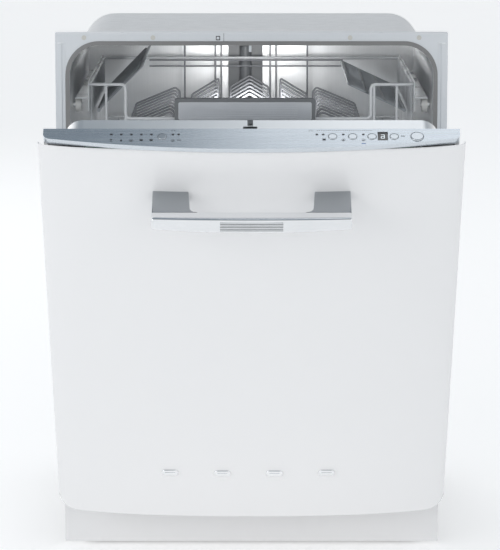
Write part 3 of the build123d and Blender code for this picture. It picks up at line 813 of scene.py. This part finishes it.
# ---- the door -----------------------------------------------------------------------------------
@dataclass
class OuterDoor:
    """Bulged white front with its bow handle and its row of studs.

    Args:
        door: The station that it is drawn in.
        columns: Upright strips that the bulge is cut into.
        rows: Level strips that the rounded top is cut into.
        belts: Heights of the level cuts over the rest of the front.
        wall: Thickness of the sheet.
        side_depth: Depth of the straight sides.
        corner: Radius of the lower corners.
        edge: Radius of the edge round the front.
        crown: Height over which the top rounds back.
        crown_share: Share of the bulge that it loses there.
        bow_rise: How far the bar's underside rises to its ends.
        bow_bend: How far its front falls back to its ends.
        post_width: Width of one handle post.
        post_flare: How far a post flares into the bar.
        studs: Number of studs.
        stud_width: Width of one stud.
    """

    door: Station
    columns: int = 64
    rows: int = 8
    belts: tuple[float, ...] = (250.0, 420.0, 590.0)
    wall: float = 1.2
    side_depth: float = 4.0
    corner: float = 27.0
    edge: float = 3.2
    crown: float = 20.0
    crown_share: float = 0.3
    bow_rise: float = 5.0
    bow_bend: float = 2.5
    post_width: float = 54.0
    post_flare: float = 11.0
    studs: int = 4
    stud_width: float = 26.0

    def __post_init__(self) -> None:
        """Takes the front's sizes from its CAD node."""
        self.low, self.high = self.door.box("outer_panel")
        self.half = self.high.x
        self.depth = self.high.y - self.low.y - self.side_depth

    def front(self, x: float, z: float) -> float:
        """Depth of the bulged face at a point of it.

        Args:
            x: Distance from the middle.
            z: Height.

        Returns:
            The face's Y.
        """
        share = max(0.0, 1 - abs(x / self.half) ** 2.3) ** 0.6
        into = min(1.0, max(0.0, (z - self.high.z + self.crown) / self.crown))
        share *= 1 - self.crown_share * (1 - math.sqrt(1 - into * into))
        return self.high.y - self.side_depth - self.depth * share

    def make_panel(self) -> None:
        """Presses the front: a block cut into columns, bulged, and rounded along its edge."""
        work = Workpiece(self.door)
        bm = work.bm
        size = self.high - self.low
        size.y = self.side_depth
        middle = (self.high + self.low) / 2
        middle.y = self.high.y - self.side_depth / 2
        add_block(bm, middle, size)
        lower = [
            edge for edge in bm.edges
            if all(vert.co.z < middle.z for vert in edge.verts)
            and abs(edge.verts[0].co.y - edge.verts[1].co.y) > 1
        ]
        round_off(bm, lower, self.corner, 12)
        for column in range(1, self.columns):
            share = 2 * column / self.columns - 1
            cut_through(bm, (self.half * math.sin(math.pi / 2 * share), 0, 0), (1, 0, 0))
        for row in range(self.rows):
            fall = self.crown * (1 - math.sin(math.pi / 2 * row / self.rows))
            cut_through(bm, (0, 0, self.high.z - fall), (0, 0, 1))
        for z in self.belts:
            cut_through(bm, (0, 0, z), (0, 0, 1))
        back = self.high.y - SAME_SPOT
        for vert in bm.verts:
            if vert.co.y < back:
                vert.co.y = self.front(vert.co.x, vert.co.z)
        bmesh.ops.recalc_face_normals(bm, faces=bm.faces)
        behind = [f for f in bm.faces if all(v.co.y > back for v in f.verts)]
        above = [f for f in bm.faces if all(v.co.z > self.high.z - SAME_SPOT for v in f.verts)]
        bmesh.ops.delete(bm, geom=list({*behind, *above}), context="FACES")
        rim = [
            edge for edge in bm.edges
            if len(edge.link_faces) == 2 and edge.calc_face_angle() > 0.7
            and all(v.co.y < back for v in edge.verts)
        ]
        round_off(bm, rim, self.edge, 4)
        panel = work.settle("door_front", FINISHES["white_enamel"], "white_enamel", ["outer_panel"], 50.0)
        sheet = panel.modifiers.new("sheet", "SOLIDIFY")
        sheet.thickness = self.wall * MM
        sheet.offset = -1.0

    def make_handle(self) -> None:
        """Chrome bow handle: the bar, its finger ribs and the two posts that flare into it."""
        low, high = self.door.box("handle_bar")
        work = Workpiece(self.door)
        steps = 36
        bm = work.bm
        middle = (low + high) / 2
        add_block(bm, middle, high - low)
        for step in range(1, steps):
            place = (low.x + (high.x - low.x) * step / steps, 0, 0)
            cut_through(bm, place, (1, 0, 0))
        for vert in bm.verts:
            out = (vert.co.x / high.x) ** 2
            if vert.co.z < middle.z:
                vert.co.z = low.z + self.bow_rise * out
            if vert.co.y < middle.y:
                vert.co.y = low.y + self.bow_bend * out
        bmesh.ops.recalc_face_normals(bm, faces=bm.faces)
        sharp = [edge for edge in bm.edges if edge.calc_face_angle() > 1.0]
        round_off(bm, sharp, 3.0, 4)
        work.settle("handle_bow", FINISHES["chrome"], "chrome", ["handle_bar"], 30.0)

        ribs = Workpiece(self.door)
        reach, count, pitch = 44.0, 6, 2.9
        for index in range(count):
            z = low.z + 4.4 + index * pitch
            ribs.wires([Run([(-reach, low.y + 0.3, z), (reach, low.y + 0.3, z)])], 1.0, 2)
        ribs.settle("handle_finger_ribs", FINISHES["chrome"], "chrome")
        # A dark plate showing between the finger ribs: painted shade in the grooves between them.
        rib_shade = Workpiece(self.door)
        first, last = low.z + 3.4, low.z + 5.4 + (count - 1) * pitch
        rib_shade.block((-reach, low.y - 0.12, first), (reach, low.y + 0.5, last))
        rib_shade.settle("handle_rib_painted_shade", GROOVE_SHADE_CHROME, "chrome")

        _, post_high = self.door.box("handle_posts")
        flare = self.post_flare
        posts = Workpiece(self.door)
        for side in (-1, 1):
            outer, inner = post_high.x - 0.6, post_high.x - self.post_width
            back = self.front(inner, post_high.z) + 6
            outline = [
                (side * outer, high.y - 2), (side * outer, back), (side * (inner + 3), back),
                (side * inner, high.y), (side * (inner - flare), high.y),
                (side * (inner - flare), high.y - 2),
            ]
            posts.plate(outline, (low.z + 5.5, high.z - 0.6), Facing.Z, [0, 0, 0, flare * 0.9, 0, 0], 1.6)
        # The posts take the darker satin chrome: painted shade of their tops.
        posts.settle("handle_feet", SATIN_SHADE_CHROME, "chrome", ["handle_posts"], 30.0)

    def make_studs(self) -> None:
        """Four plain crowned studs in a row low on the front."""
        low, high = self.door.box("front_studs")
        count, width = self.studs, self.stud_width
        pitch = (high.x - low.x - width) / (count - 1)
        tall = high.z - low.z
        work = Workpiece(self.door)
        for index in range(count):
            x = low.x + width / 2 + index * pitch
            face = self.front(x, low.z)
            outline = rectangle((x - width / 2, low.z), (x + width / 2, high.z))
            work.plate(outline, (face + 2, face - 2.6), Facing.Y, tall * 0.49, 1.6)
            groove = rectangle((x - width / 2 + 4, low.z + 4), (x + width / 2 - 4, high.z - 4))
            work.plate(groove, (face - 2, face - 3.4), Facing.Y, tall * 0.16, 0.6)
        work.settle("front_row_studs", FINISHES["chrome"], "chrome", ["front_studs"], 30.0)


class Mark(Enum):
    """Plain signs printed on the control strip."""

    POT = "pot"
    GLASS = "glass"
    PLATE = "plate"
    DROP = "drop"
    CLOCK = "clock"
    HALF = "half"
    LEAF = "leaf"


@dataclass
class ControlStrip:
    """Lamps, printed signs and the lit digit on the strip along the door's top edge.

    Args:
        door: The station that it is drawn in.
        raised: How far the marks stand proud.
        drop: How far the strip's top falls from back to front.
        depth: The depth that it falls over.
        lamp_row: Y of the lamps.
        lamps: X of each lamp.
        sign_row: Y of the signs.
        left_signs: Signs left of the latch, each with its X.
        right_signs: Signs right of the latch.
        scale_start: X of the scale line's first mark.
        scale_pitch: From mark to mark along it.
        scale_marks: Number of its marks.
    """

    door: Station
    raised: float = 0.14
    drop: float = 4.5
    depth: float = 45.0
    lamp_row: float = -16.5
    lamps: tuple[float, ...] = (
        -196.0, -182.0, -168.0, -154.0, -140.0, -110.0, -102.0, 91.0, 100.0, 128.0, 156.0,
    )
    sign_row: float = -28.5
    left_signs: tuple[tuple[Mark, float], ...] = (
        (Mark.GLASS, -196.0), (Mark.DROP, -182.0), (Mark.PLATE, -168.0), (Mark.POT, -154.0),
        (Mark.POT, -140.0), (Mark.CLOCK, -110.0), (Mark.HALF, -101.0),
    )
    right_signs: tuple[tuple[Mark, float], ...] = (
        (Mark.POT, 101.0), (Mark.PLATE, 128.0), (Mark.CLOCK, 156.0),
    )
    scale_start: float = 92.0
    scale_pitch: float = 3.0
    scale_marks: int = 26

    def __post_init__(self) -> None:
        """Takes the strip's place from its CAD node."""
        _, self.high = self.door.box("control_fascia")
        self.fall = self.drop / self.depth

    def level(self, y: float) -> float:
        """Height of the strip's sloping top at a depth."""
        return self.high.z - self.fall * (self.high.y - y)

    def dot(self, work: Workpiece, x: float, y: float, radius: float) -> None:
        """A small round spot standing just proud."""
        top = self.level(y)
        work.disc((x, y, top - 0.5), (x, y, top + self.raised), radius)

    def bar(self, work: Workpiece, x: float, y: float, width: float, deep: float) -> None:
        """A small printed bar."""
        top = self.level(y)
        low = (x - width / 2, y - deep / 2, top - 0.5)
        work.block(low, (x + width / 2, y + deep / 2, top + self.raised))

    def ring(self, work: Workpiece, x: float, y: float, radius: float, share: float = 1.0) -> None:
        """A thin printed ring, or an arc of one."""
        top = self.level(y) + self.raised / 2
        steps = 12
        around = [2 * math.pi * share * step / steps for step in range(steps + (share < 1))]
        points = [(x + radius * math.cos(a), y + radius * math.sin(a), top) for a in around]
        work.wires([Run(points, closed=share == 1)], 0.28, 0, 1)

    def sign(self, work: Workpiece, mark: Mark, x: float, y: float) -> None:
        """Draws one sign.

        Args:
            work: What it is added to.
            mark: Which sign.
            x: Its middle along the strip.
            y: Its middle across the strip.
        """
        if mark is Mark.POT:
            self.bar(work, x, y, 4.4, 2.6)
            self.bar(work, x, y + 2.2, 5.6, 0.6)
        elif mark is Mark.GLASS:
            self.bar(work, x, y + 1.3, 3.0, 1.6)
            self.bar(work, x, y - 0.6, 0.7, 2.4)
            self.bar(work, x, y - 2.1, 2.8, 0.6)
        elif mark is Mark.PLATE:
            self.ring(work, x, y, 2.5)
            self.dot(work, x, y, 1.0)
        elif mark is Mark.DROP:
            self.dot(work, x, y - 0.7, 1.5)
            self.bar(work, x, y + 1.3, 0.8, 1.6)
        elif mark is Mark.CLOCK:
            self.ring(work, x, y, 2.3)
            self.bar(work, x, y + 0.7, 0.5, 1.8)
            self.bar(work, x + 0.8, y, 1.6, 0.5)
        elif mark is Mark.HALF:
            self.ring(work, x, y, 2.3, 0.5)
            self.bar(work, x, y, 5.2, 0.6)
        else:
            self.ring(work, x - 0.8, y, 2.0, 0.6)
            self.bar(work, x + 1.8, y, 2.4, 0.5)

    def make_lamps(self) -> None:
        """The little lamp lenses beside the buttons."""
        work = Workpiece(self.door)
        for x in self.lamps:
            self.dot(work, x, self.lamp_row, 1.9)
        self.dot(work, -147.0, self.lamp_row, 0.6)
        work.settle("strip_lamps", LAMP, "dark_glass")

    def make_signs(self) -> None:
        """Printed signs under the lamps, the scale line and the marks by the latch."""
        work = Workpiece(self.door)
        for mark, x in self.left_signs:
            self.sign(work, mark, x, self.sign_row)
        self.sign(work, Mark.LEAF, -109.0, -9.0)
        self.sign(work, Mark.LEAF, 83.0, -9.5)
        for mark, x in self.right_signs:
            self.sign(work, mark, x, self.sign_row + 1)
        self.sign(work, Mark.HALF, 211.0, -20.5)
        for index in range(self.scale_marks):
            self.bar(work, self.scale_start + self.scale_pitch * index, -8.8, 1.3, 0.7)
        work.settle("strip_signs", PRINT, "dark_plastic")

        blue = Workpiece(self.door)
        self.bar(blue, 156.0, -35.0, 6.0, 1.2)
        blue.settle("strip_blue_mark", BLUE_PRINT, "dark_plastic")

    def make_digit(self) -> None:
        """One lit seven-bar digit in the window."""
        low, high = self.door.box("display_window")
        middle = (low + high) / 2
        wide, tall, thick = 4.4, 4.0, 0.9
        top = high.z
        work = Workpiece(self.door)
        for y in (-tall, 0.0, tall):
            work.block((middle.x - wide / 2, middle.y + y - thick / 2, top - 0.2),
                       (middle.x + wide / 2, middle.y + y + thick / 2, top + 0.1))
        for x, y in ((1, 1), (-1, -1), (1, -1)):
            spot_x, spot_y = middle.x + x * wide / 2, middle.y + y * tall / 2
            work.block((spot_x - thick / 2, spot_y - tall / 2, top - 0.2),
                       (spot_x + thick / 2, spot_y + tall / 2, top + 0.1))
        work.settle("display_digit", DIGIT, "dark_glass")

    def make_latch_marks(self) -> None:
        """A stamped oval each side of the latch slot, on the inner door's top."""
        low, high = self.door.box("door_latch")
        middle = (low + high) / 2
        level = 795.0
        work = Workpiece(self.door)
        for side in (-1, 1):
            x = middle.x + side * 19.0
            points = [
                (x + 3.4 * math.cos(angle), middle.y - 2 + 4.6 * math.sin(angle), level)
                for angle in (math.pi * step / 6 for step in range(12))
            ]
            work.wires([Run(points, closed=True)], 0.5, 1, 2)
        work.settle("latch_marks", PRINT, "dark_plastic")


# ---- the cabinet --------------------------------------------------------------------------------
@dataclass
class Cabinet:
    """Springs of the door, and details of the steel front and the blanket.

    Args:
        cabinet: The station that it is drawn in.
        spring_wire: Radius of the springs' wire.
        turns: Turns of one spring.
        tab_x: Middle of the locating tab.
        tape_half: Half the width of a strip of tape.
        tape_skin: How far the tape stands proud.
        tape_ends: Heights that it runs between.
    """

    cabinet: Station
    spring_wire: float = 1.1
    turns: int = 92
    tab_x: float = -51.0
    tape_half: float = 20.0
    tape_skin: float = 0.25
    tape_ends: tuple[float, float] = (150.0, 748.0)

    def make_springs(self) -> None:
        """Wound balance springs, one each side."""
        low, high = self.cabinet.box("balance_springs")
        wire = self.spring_wire
        radius = (high.z - low.z) / 2 - wire
        x = high.x - radius - wire
        z = (low.z + high.z) / 2
        turns, per_turn = self.turns, 9
        pitch = (high.y - low.y - 4 * wire) / turns
        work = Workpiece(self.cabinet)
        for side in (-1, 1):
            points = []
            for step in range(turns * per_turn + 1):
                angle = 2 * math.pi * step / per_turn
                y = low.y + 2 * wire + pitch * step / per_turn
                points.append((side * (x + radius * math.cos(angle)), y, z + radius * math.sin(angle)))
            work.wires([Run(points)], wire, 0, 1)
        steel = FINISHES["spring_steel"]
        springs = work.settle("wound_springs", steel, "spring_steel", ["balance_springs"], 60.0)
        anchor = self.cabinet.to_row @ Vector((0, high.y, z))
        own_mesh(springs)

    def make_frame_details(self) -> None:
        """Small locating tab and joint line on the top bar."""
        _, high = self.cabinet.box("front_frame")
        work = Workpiece(self.cabinet)
        x = self.tab_x
        work.block((x - 3.2, -0.5, 807.0), (x + 3.2, 0.4, 813.6), 0.2)
        work.block((x + 8.6, -0.16, 803.4), (x + 9.1, 0.4, high.z - 0.3))
        work.settle("bar_locating_tab", PRINT, "dark_plastic")
        tab = Workpiece(self.cabinet)
        tab.block((x - 2.1, -0.8, 808.1), (x + 2.1, 0.4, 812.5), 0.3)
        tab.settle("bar_tab_face", FINISHES["frame_steel"], "frame_steel")

    def make_blanket_tape(self) -> None:
        """Foil tape over the blanket's seams."""
        low, high = self.cabinet.box("insulation_blanket")
        work = Workpiece(self.cabinet)
        half = self.tape_half
        foot, head = self.tape_ends
        for y in (low.y + 14, (low.y + high.y) / 2, high.y - 16):
            for side in (-1, 1):
                near, far = sorted((side * high.x, side * (high.x + self.tape_skin)))
                work.block((near, y - half, foot), (far, y + half, head))
        work.settle("blanket_tape", TAPE, "zinc_steel")


# ---- the baskets --------------------------------------------------------------------------------
@dataclass(frozen=True)
class BasketSizes:
    """Main sizes of one wire basket.

    Args:
        half: From the middle to the side wires.
        front: Y of the front wires.
        back: Y of the back wires.
        floor: Z of the floor wires.
        rim: Z of the rim.
        wire: Radius of the wires.
    """

    half: float
    front: float
    back: float
    floor: float
    rim: float
    wire: float = 2.0


@dataclass
class UpperBasket:
    """Wire basket on side rails, with its stepped front, handle, glass holders and cup shelves.

    Args:
        cabinet: The station that it is drawn in.
        notch: Left and right end of the lowered front rim, and its height.
        rail_reach: From the side wires to the rails' outer edge.
        rail: Y of the rails' ends.
        centre: Middle of the roof-shaped wires.
        back_rail: Height of the tall rail at the back.
        hoop_rises: Heights of the hoops above the floor.
        long_wires: X of the wires that run from front to back.
        tall_wires: X of the wires that carry the back rail.
        shelf_width: Width of a cup shelf.
    """

    cabinet: Station
    notch: tuple[float, float, float] = (-195.0, 185.0, 680.0)
    rail_reach: float = 23.0
    rail: tuple[float, float] = (60.0, 470.0)
    centre: float = -3.0
    back_rail: float = 764.0
    hoop_rises: tuple[float, float] = (52.0, 104.0)
    long_wires: tuple[int, ...] = (
        -225, -195, -165, -135, -113, -85, -61, -51, 32, 42, 68, 95, 125, 155, 190, 225,
    )
    tall_wires: tuple[int, ...] = (-113, -61, -51, 32, 42, 95)
    shelf_width: float = 98.0

    def __post_init__(self) -> None:
        """Takes the basket's sizes from its CAD node."""
        self.place = self.cabinet.riding("upper_basket_body")
        low, high = self.place.box("upper_basket")
        self.size = BasketSizes(
            high.x - self.rail_reach, low.y + 2.5, high.y - 2.0, low.z + 5.5, high.z - 5.0
        )

    def make_wires(self) -> None:
        """Rim, floor and side wires."""
        s = self.size
        left, right, low = self.notch
        rim = [
            (-s.half, s.back, s.rim), (s.half, s.back, s.rim), (s.half, s.front, s.rim),
            (right, s.front, s.rim), (right, s.front, low), (left, s.front, low),
            (left, s.front, s.rim), (-s.half, s.front, s.rim),
        ]
        work = Workpiece(self.place).wires([Run(rim, 16.0, True)], s.wire + 0.5, 2, 5)
        across = [
            Run([(-s.half, y, s.rim), (-s.half, y, s.floor), (s.half, y, s.floor), (s.half, y, s.rim)], 24.0)
            for y in range(100, 461, 36)
        ]
        along = []
        under = s.floor - 3.5
        levels = [s.floor + rise for rise in self.hoop_rises]
        for x in self.long_wires:
            top = low if left < x < right else s.rim
            rear = (x, s.back, levels[0])
            along.append(Run([(x, s.front, top), (x, s.front, under), (x, s.back, under), rear], 24.0))
        hoops = [
            Run([
                (-s.half, s.front, z), (-s.half, s.back, z), (s.half, s.back, z), (s.half, s.front, z)
            ], 14.0, True)
            for z in levels if z < low
        ]
        work.wires([*across, *along, *hoops], s.wire, 1, 4)
        for side in (-1, 1):
            inner, middle, outer = (side * (s.half + reach) for reach in (1.2, 3.2, self.rail_reach))
            start, end = self.rail
            work.block((min(inner, middle), start, 690), (max(inner, middle), end, 738), 0.6)
            work.block((min(middle, outer), start, 710.5), (max(middle, outer), end, 712.5), 0.6)
        work.settle("upper_basket_frame", FINISHES["coated_wire"], "coated_wire", ["upper_basket"], 50.0)

    def make_holders(self) -> None:
        """Roof-shaped wires down the middle and shouldered glass holders each side."""
        s = self.size
        low, _ = self.place.box("upper_tines")
        base = low.z + 0.5
        runs = []
        reach, eaves, ridge = 32.0, 685.0, 704.0
        for index in range(7):
            y = 452.0 - 54.0 * index
            left, right = self.centre - reach, self.centre + reach
            runs.append(Run([
                (left, y, base), (left, y, eaves), (self.centre, y, ridge), (right, y, eaves), (right, y, base)
            ], 6.0))
            for side in (-1, 1):
                foot, head = self.centre + side * 98, self.centre + side * 52
                runs.append(Run([(foot, y, base), (foot, y, 672.0), (head, y, 700.0), (head, y, base)], 8.0))
        for index in range(9):
            y = 446.0 - 43.0 * index
            for shoulder, foot, outer in ((-128.0, -121.0, -196.0), (110.0, 104.0, 176.0)):
                runs.append(Run([
                    (outer, y, base), (outer, y, 657.0), (shoulder, y, 685.0), (foot, y, 678.0), (foot, y, base)
                ], 9.0))
        for x in (-196.0, -121.0, -35.0, 29.0, 104.0, 176.0):
            runs.append(Run([(x, s.front + 24, base), (x, s.back - 14, base)]))
        for x in (-92.0, -64.0, 52.0, 78.0):
            runs += [Run([(x, y, base), (x, y - 14, base + 62)]) for y in range(96, 440, 32)]
        runs += [Run([(x, s.back, s.floor + 50), (x, s.back, self.back_rail)]) for x in self.tall_wires]
        first, last = self.tall_wires[0] - 60, self.tall_wires[-1] + 60
        runs += [Run([(first, s.back, z), (last, s.back, z)]) for z in (self.back_rail, 729.0, 719.0)]
        work = Workpiece(self.place).wires(runs, 1.6, 1, 4)
        work.settle("glass_holders", GREY_WIRE, "coated_wire", ["upper_tines"], 50.0)

    def make_handle(self) -> None:
        """Grey frame with a silver plate let into it, pressed with faint lines."""
        low, high = self.place.box("upper_handle")
        work = Workpiece(self.place)
        work.plate(rectangle((low.x, low.z), (high.x, high.z)), (high.y, low.y), Facing.Y, 5.0, 1.2)
        work.settle("basket_grip", FINISHES["grey_plastic"], "grey_plastic", ["upper_handle"], 30.0)
        border = 6.0
        plate = Workpiece(self.place)
        face = low.y - 0.5
        inner = rectangle((low.x + border, low.z + border), (high.x - border, high.z - border))
        plate.plate(inner, (low.y + 1.5, face), Facing.Y, 3.0, 0.8)
        for index in range(7):
            z = low.z + border + 3.5 + index * 3.5
            line = rectangle((low.x + 28, z - 0.5), (high.x - 28, z + 0.5))
            plate.plate(line, (face + 0.3, face - 0.35), Facing.Y, 0.4, 0.2)
        plate.settle("basket_grip_plate", SILVER, "grey_plastic")

    def make_shelf(self, node: str, side: int, tilt: float) -> None:
        """One tilting cup shelf.

        Args:
            node: The CAD node that it replaces.
            side: -1 on the left, 1 on the right.
            tilt: How far it is tipped up, in degrees.
        """
        hinge = self.place.to_row.inverted() @ Vector(JOINTS[f"{node}_fold"]["pos_m"])
        low, high = self.place.box(node)
        start, end, width, thick = low.y, high.y, self.shelf_width, 1.5
        work = Workpiece(self.place.riding(node))
        work.disc((0, start, 0), (0, end, 0), 3.0, 0.8)
        if side < 0:
            teeth = 20
            pitch = (end - start) / teeth
            outline = [(0.0, start)]
            for tooth in range(teeth):
                y = start + tooth * pitch
                outline += [(width - 5, y + 1), (width, y + pitch * 0.35), (width, y + pitch * 0.65),
                            (width - 5, y + pitch - 1)]
            outline.append((0.0, end))
            work.plate(outline, (-0.9, 0.6), Facing.Z)
            ribs = 24
            lean = 26.0
            step = (end - start - lean - 8) / ribs
            for rib in range(ribs + 1):
                y = start + 4 + rib * step
                line = [(4, y), (width - 10, y + lean), (width - 10, y + lean + 3.4), (4, y + 3.4)]
                work.plate(line, (0.3, 2.6), Facing.Z, 0.0, 0.5)
        else:
            for x in (3.0, 32.0, 62.0, width - 6):
                work.block((x, start, -thick), (x + 5, end, thick), 0.6)
            bars = 26
            for bar in range(bars + 1):
                y = start + (end - start - 4) * bar / bars
                work.block((2, y, -thick), (width - 2, y + 4, thick), 0.6)
        mirror = Matrix.Diagonal((-side, 1, 1, 1))
        turn = Matrix.Rotation(math.radians(-tilt), 4, "Y")
        work.move(Matrix.Translation((hinge.x, 0, hinge.z)) @ mirror @ turn)
        work.settle(f"{node}_flap", FINISHES["shelf_plastic"], "shelf_plastic", [node], 30.0)


@dataclass
class LowerBasket:
    """Wire basket on wheels with a row of folding tines.

    Args:
        cabinet: The station that it is drawn in.
        floor: Height of the floor wires.
        hoop: Height of the hoop.
        bend: Where the wires start to bend at their corners.
    """

    cabinet: Station
    floor: float = 166.0
    hoop: float = 250.0
    bend: float = 24.0

    def __post_init__(self) -> None:
        """Takes the basket's sizes from its CAD node."""
        self.place = self.cabinet.riding("lower_basket_body")
        low, high = self.place.box("lower_basket")
        self.size = BasketSizes(high.x - 2.5, low.y + 2.5, high.y - 2.5, self.floor, high.z - 2.5)

    def make_wires(self) -> None:
        """Rim, hoop, floor and side wires, with the wheel hangers."""
        s = self.size
        loops = [
            [(-s.half, s.back, z), (s.half, s.back, z), (s.half, s.front, z), (-s.half, s.front, z)]
            for z in (s.rim, self.hoop)
        ]
        work = Workpiece(self.place).wires([Run(loops[0], self.bend, True)], s.wire + 0.5, 2, 5)
        runs = [Run(loops[1], self.bend, True)]
        for y in range(112, 461, 28):
            runs.append(Run([
                (-s.half, y, s.rim), (-s.half, y, s.floor), (s.half, y, s.floor), (s.half, y, s.rim)
            ], self.bend))
        under = s.floor - 3.5
        for x in (-200, -170, -140, -110, -80, -50, -20, 10, 40, 70, 100, 130, 160, 205):
            runs.append(Run([
                (x, s.front, s.rim), (x, s.front, under), (x, s.back, under), (x, s.back, s.rim)
            ], self.bend))
        for x in range(-190, 101, 34):
            runs += [Run([(x, y, s.floor + 3), (x + 4, y, s.floor + 78)]) for y in (290, 340, 390, 430)]
        work.wires(runs, s.wire, 1, 4)
        low, high = self.place.box("wheels_front")
        axle_z = (low.z + high.z) / 2
        pin_x = high.x - 6.0
        for node in ("wheels_front", "wheels_rear"):
            near, far = self.place.box(node)
            y = (near.y + far.y) / 2
            for side in (-1, 1):
                ends = sorted((side * (pin_x + 7), side * (pin_x + 11)))
                work.block((ends[0], y - 8, axle_z - 8), (ends[1], y + 8, s.floor + 1), 1.0)
                work.disc((side * (pin_x + 8), y, axle_z), (side * (pin_x - 7), y, axle_z), 3.0, 0.6)
        work.settle("lower_basket_frame", FINISHES["coated_wire"], "coated_wire", ["lower_basket"], 50.0)

    def make_folding_row(self) -> None:
        """The folding row of plate tines on its rod."""
        low, high = self.place.box("folding_tines")
        y = (low.y + high.y) / 2
        z = low.z + 2.2
        runs = [Run([(low.x, y, z), (high.x, y, z)])]
        runs += [Run([(x, y, z), (x, y, high.z)]) for x in range(-196, 97, 17)]
        work = Workpiece(self.place.riding("folding_tines")).wires(runs, 1.9, 1, 2)
        work.settle("plate_tines", FINISHES["coated_wire"], "coated_wire", ["folding_tines"], 50.0)


# ---- carried-over pieces ------------------------------------------------------------------------
def dress_cad_nodes() -> None:
    """Gives every CAD node that still shows the finish of its slot."""
    for name, node in frame["nodes"].items():
        if node.hide_render:
            continue
        material = FINISHES[SLOT_OF[name]].material()
        for index in range(len(node.data.materials)):
            node.data.materials[index] = material
        if not node.data.materials:
            node.data.materials.append(material)
        LOG.info("%s dressed in %s", name, SLOT_OF[name])


# ---- the studio ---------------------------------------------------------------------------------
@dataclass(frozen=True)
class Softbox:
    """A large soft lamp.

    Args:
        name: The lamp's name.
        place: Where it hangs.
        aim: What it is turned to.
        size: Its side.
        power: Its power in watts.
    """

    name: str
    place: Point
    aim: Point
    size: float
    power: float

    def hang(self) -> None:
        """Puts the lamp in the scene."""
        lamp = bpy.data.lights.new(self.name, "AREA")
        lamp.shape = "SQUARE"
        lamp.size = self.size
        lamp.energy = self.power
        holder = bpy.data.objects.new(self.name, lamp)
        holder.location = self.place
        way = Vector(self.aim) - Vector(self.place)
        holder.rotation_euler = way.to_track_quat("-Z", "Y").to_euler()
        bpy.context.scene.collection.objects.link(holder)


@dataclass
class Studio:
    """Camera, soft light and the pale floor.

    Args:
        camera_place: Where the camera stands.
        pitch: How far it looks down, in degrees.
        lens: Its focal length in millimetres.
        drop: Its upright shift.
        floor_half: Half the floor's side.
        room: The room's colour from below to overhead, each a place and a colour.
        softboxes: The lamps.
    """

    camera_place: Point = (-0.0023, -4.179, 1.195)
    pitch: float = 8.97
    lens: float = 177.0
    drop: float = -0.12
    floor_half: float = 30.0
    room: tuple[tuple[float, Colour], ...] = ((0.12, (0.97, 0.97, 0.97)), (0.8, (0.22, 0.26, 0.30)))
    softboxes: tuple[Softbox, ...] = (
        Softbox("left_box", (-3.0, -2.6, 1.6), (0, 0, 0.5), 2.4, 28.0),
        Softbox("right_box", (3.0, -2.4, 1.8), (0, 0, 0.5), 2.4, 8.0),
        Softbox("over_box", (0.55, 0.40, 2.9), (0.5, -0.3, 0.7), 1.2, 4.6),
        Softbox("tub_box", (0.0, 0.10, 0.735), (0, 0.42, 0.60), 0.12, 0.42),
        Softbox("rear_box", (-1.8, 3.2, 2.4), (0, 0.2, 0.5), 2.4, 24.0),
    )

    def make_camera(self) -> None:
        """A long lens looking slightly down on the front."""
        data = bpy.data.cameras.new("camera")
        data.lens = self.lens
        data.shift_y = self.drop
        data.clip_end = 100.0
        camera = bpy.data.objects.new("camera", data)
        camera.location = self.camera_place
        camera.rotation_euler = (math.radians(90 - self.pitch), 0, 0)
        bpy.context.scene.collection.objects.link(camera)
        bpy.context.scene.camera = camera

    def make_light(self) -> None:
        """Soft boxes in a pale room that is darker overhead."""
        for softbox in self.softboxes:
            softbox.hang()
        world = bpy.data.worlds.new("room")
        bpy.context.scene.world = world
        graph = Graph(world)
        where = graph.node("ShaderNodeTexCoord", output="Generated")
        height = graph.node("ShaderNodeSeparateXYZ", inputs={0: where}, output="Z")
        shade = graph.node("ShaderNodeValToRGB", {"stops": self.room}, {"Fac": height})
        light = graph.node("ShaderNodeBackground", inputs={"Color": shade, "Strength": 1.0})
        graph.node("ShaderNodeOutputWorld", inputs={"Surface": light})
        bpy.context.scene.view_settings.view_transform = "Standard"

    def make_floor(self) -> None:
        """A plain pale floor, running far back."""
        bm = bmesh.new()
        bmesh.ops.create_grid(bm, x_segments=1, y_segments=1, size=self.floor_half)
        mesh = bpy.data.meshes.new("floor")
        bm.to_mesh(mesh)
        bm.free()
        mesh.materials.append(Lit("floor_paint", (0.9, 0.9, 0.9), 0.5).material())
        floor = bpy.data.objects.new("floor", mesh)
        bpy.context.scene.collection.objects.link(floor)

    def set_up(self) -> None:
        """Makes everything that isn't the object."""
        self.make_camera()
        self.make_light()
        self.make_floor()


def main() -> None:
    """Builds the studio and every piece in order."""
    logging.basicConfig(level=logging.INFO, format="%(message)s")
    Studio().set_up()
    cabinet, door = make_stations()

    front = OuterDoor(door)
    front.make_panel()
    front.make_handle()
    front.make_studs()

    strip = ControlStrip(door)
    strip.make_lamps()
    strip.make_signs()
    strip.make_digit()
    strip.make_latch_marks()

    shell = Cabinet(cabinet)
    shell.make_springs()
    shell.make_frame_details()
    shell.make_blanket_tape()

    upper = UpperBasket(cabinet)
    upper.make_wires()
    upper.make_holders()
    upper.make_handle()
    upper.make_shelf("cup_shelf_left", -1, JOINTS["cup_shelf_left_fold"]["range_deg"][1])
    upper.make_shelf("cup_shelf_right", 1, -JOINTS["cup_shelf_right_fold"]["range_deg"][0])

    lower = LowerBasket(cabinet)
    lower.make_wires()
    lower.make_folding_row()

    dress_cad_nodes()


if __name__ == "__main__":
    main()
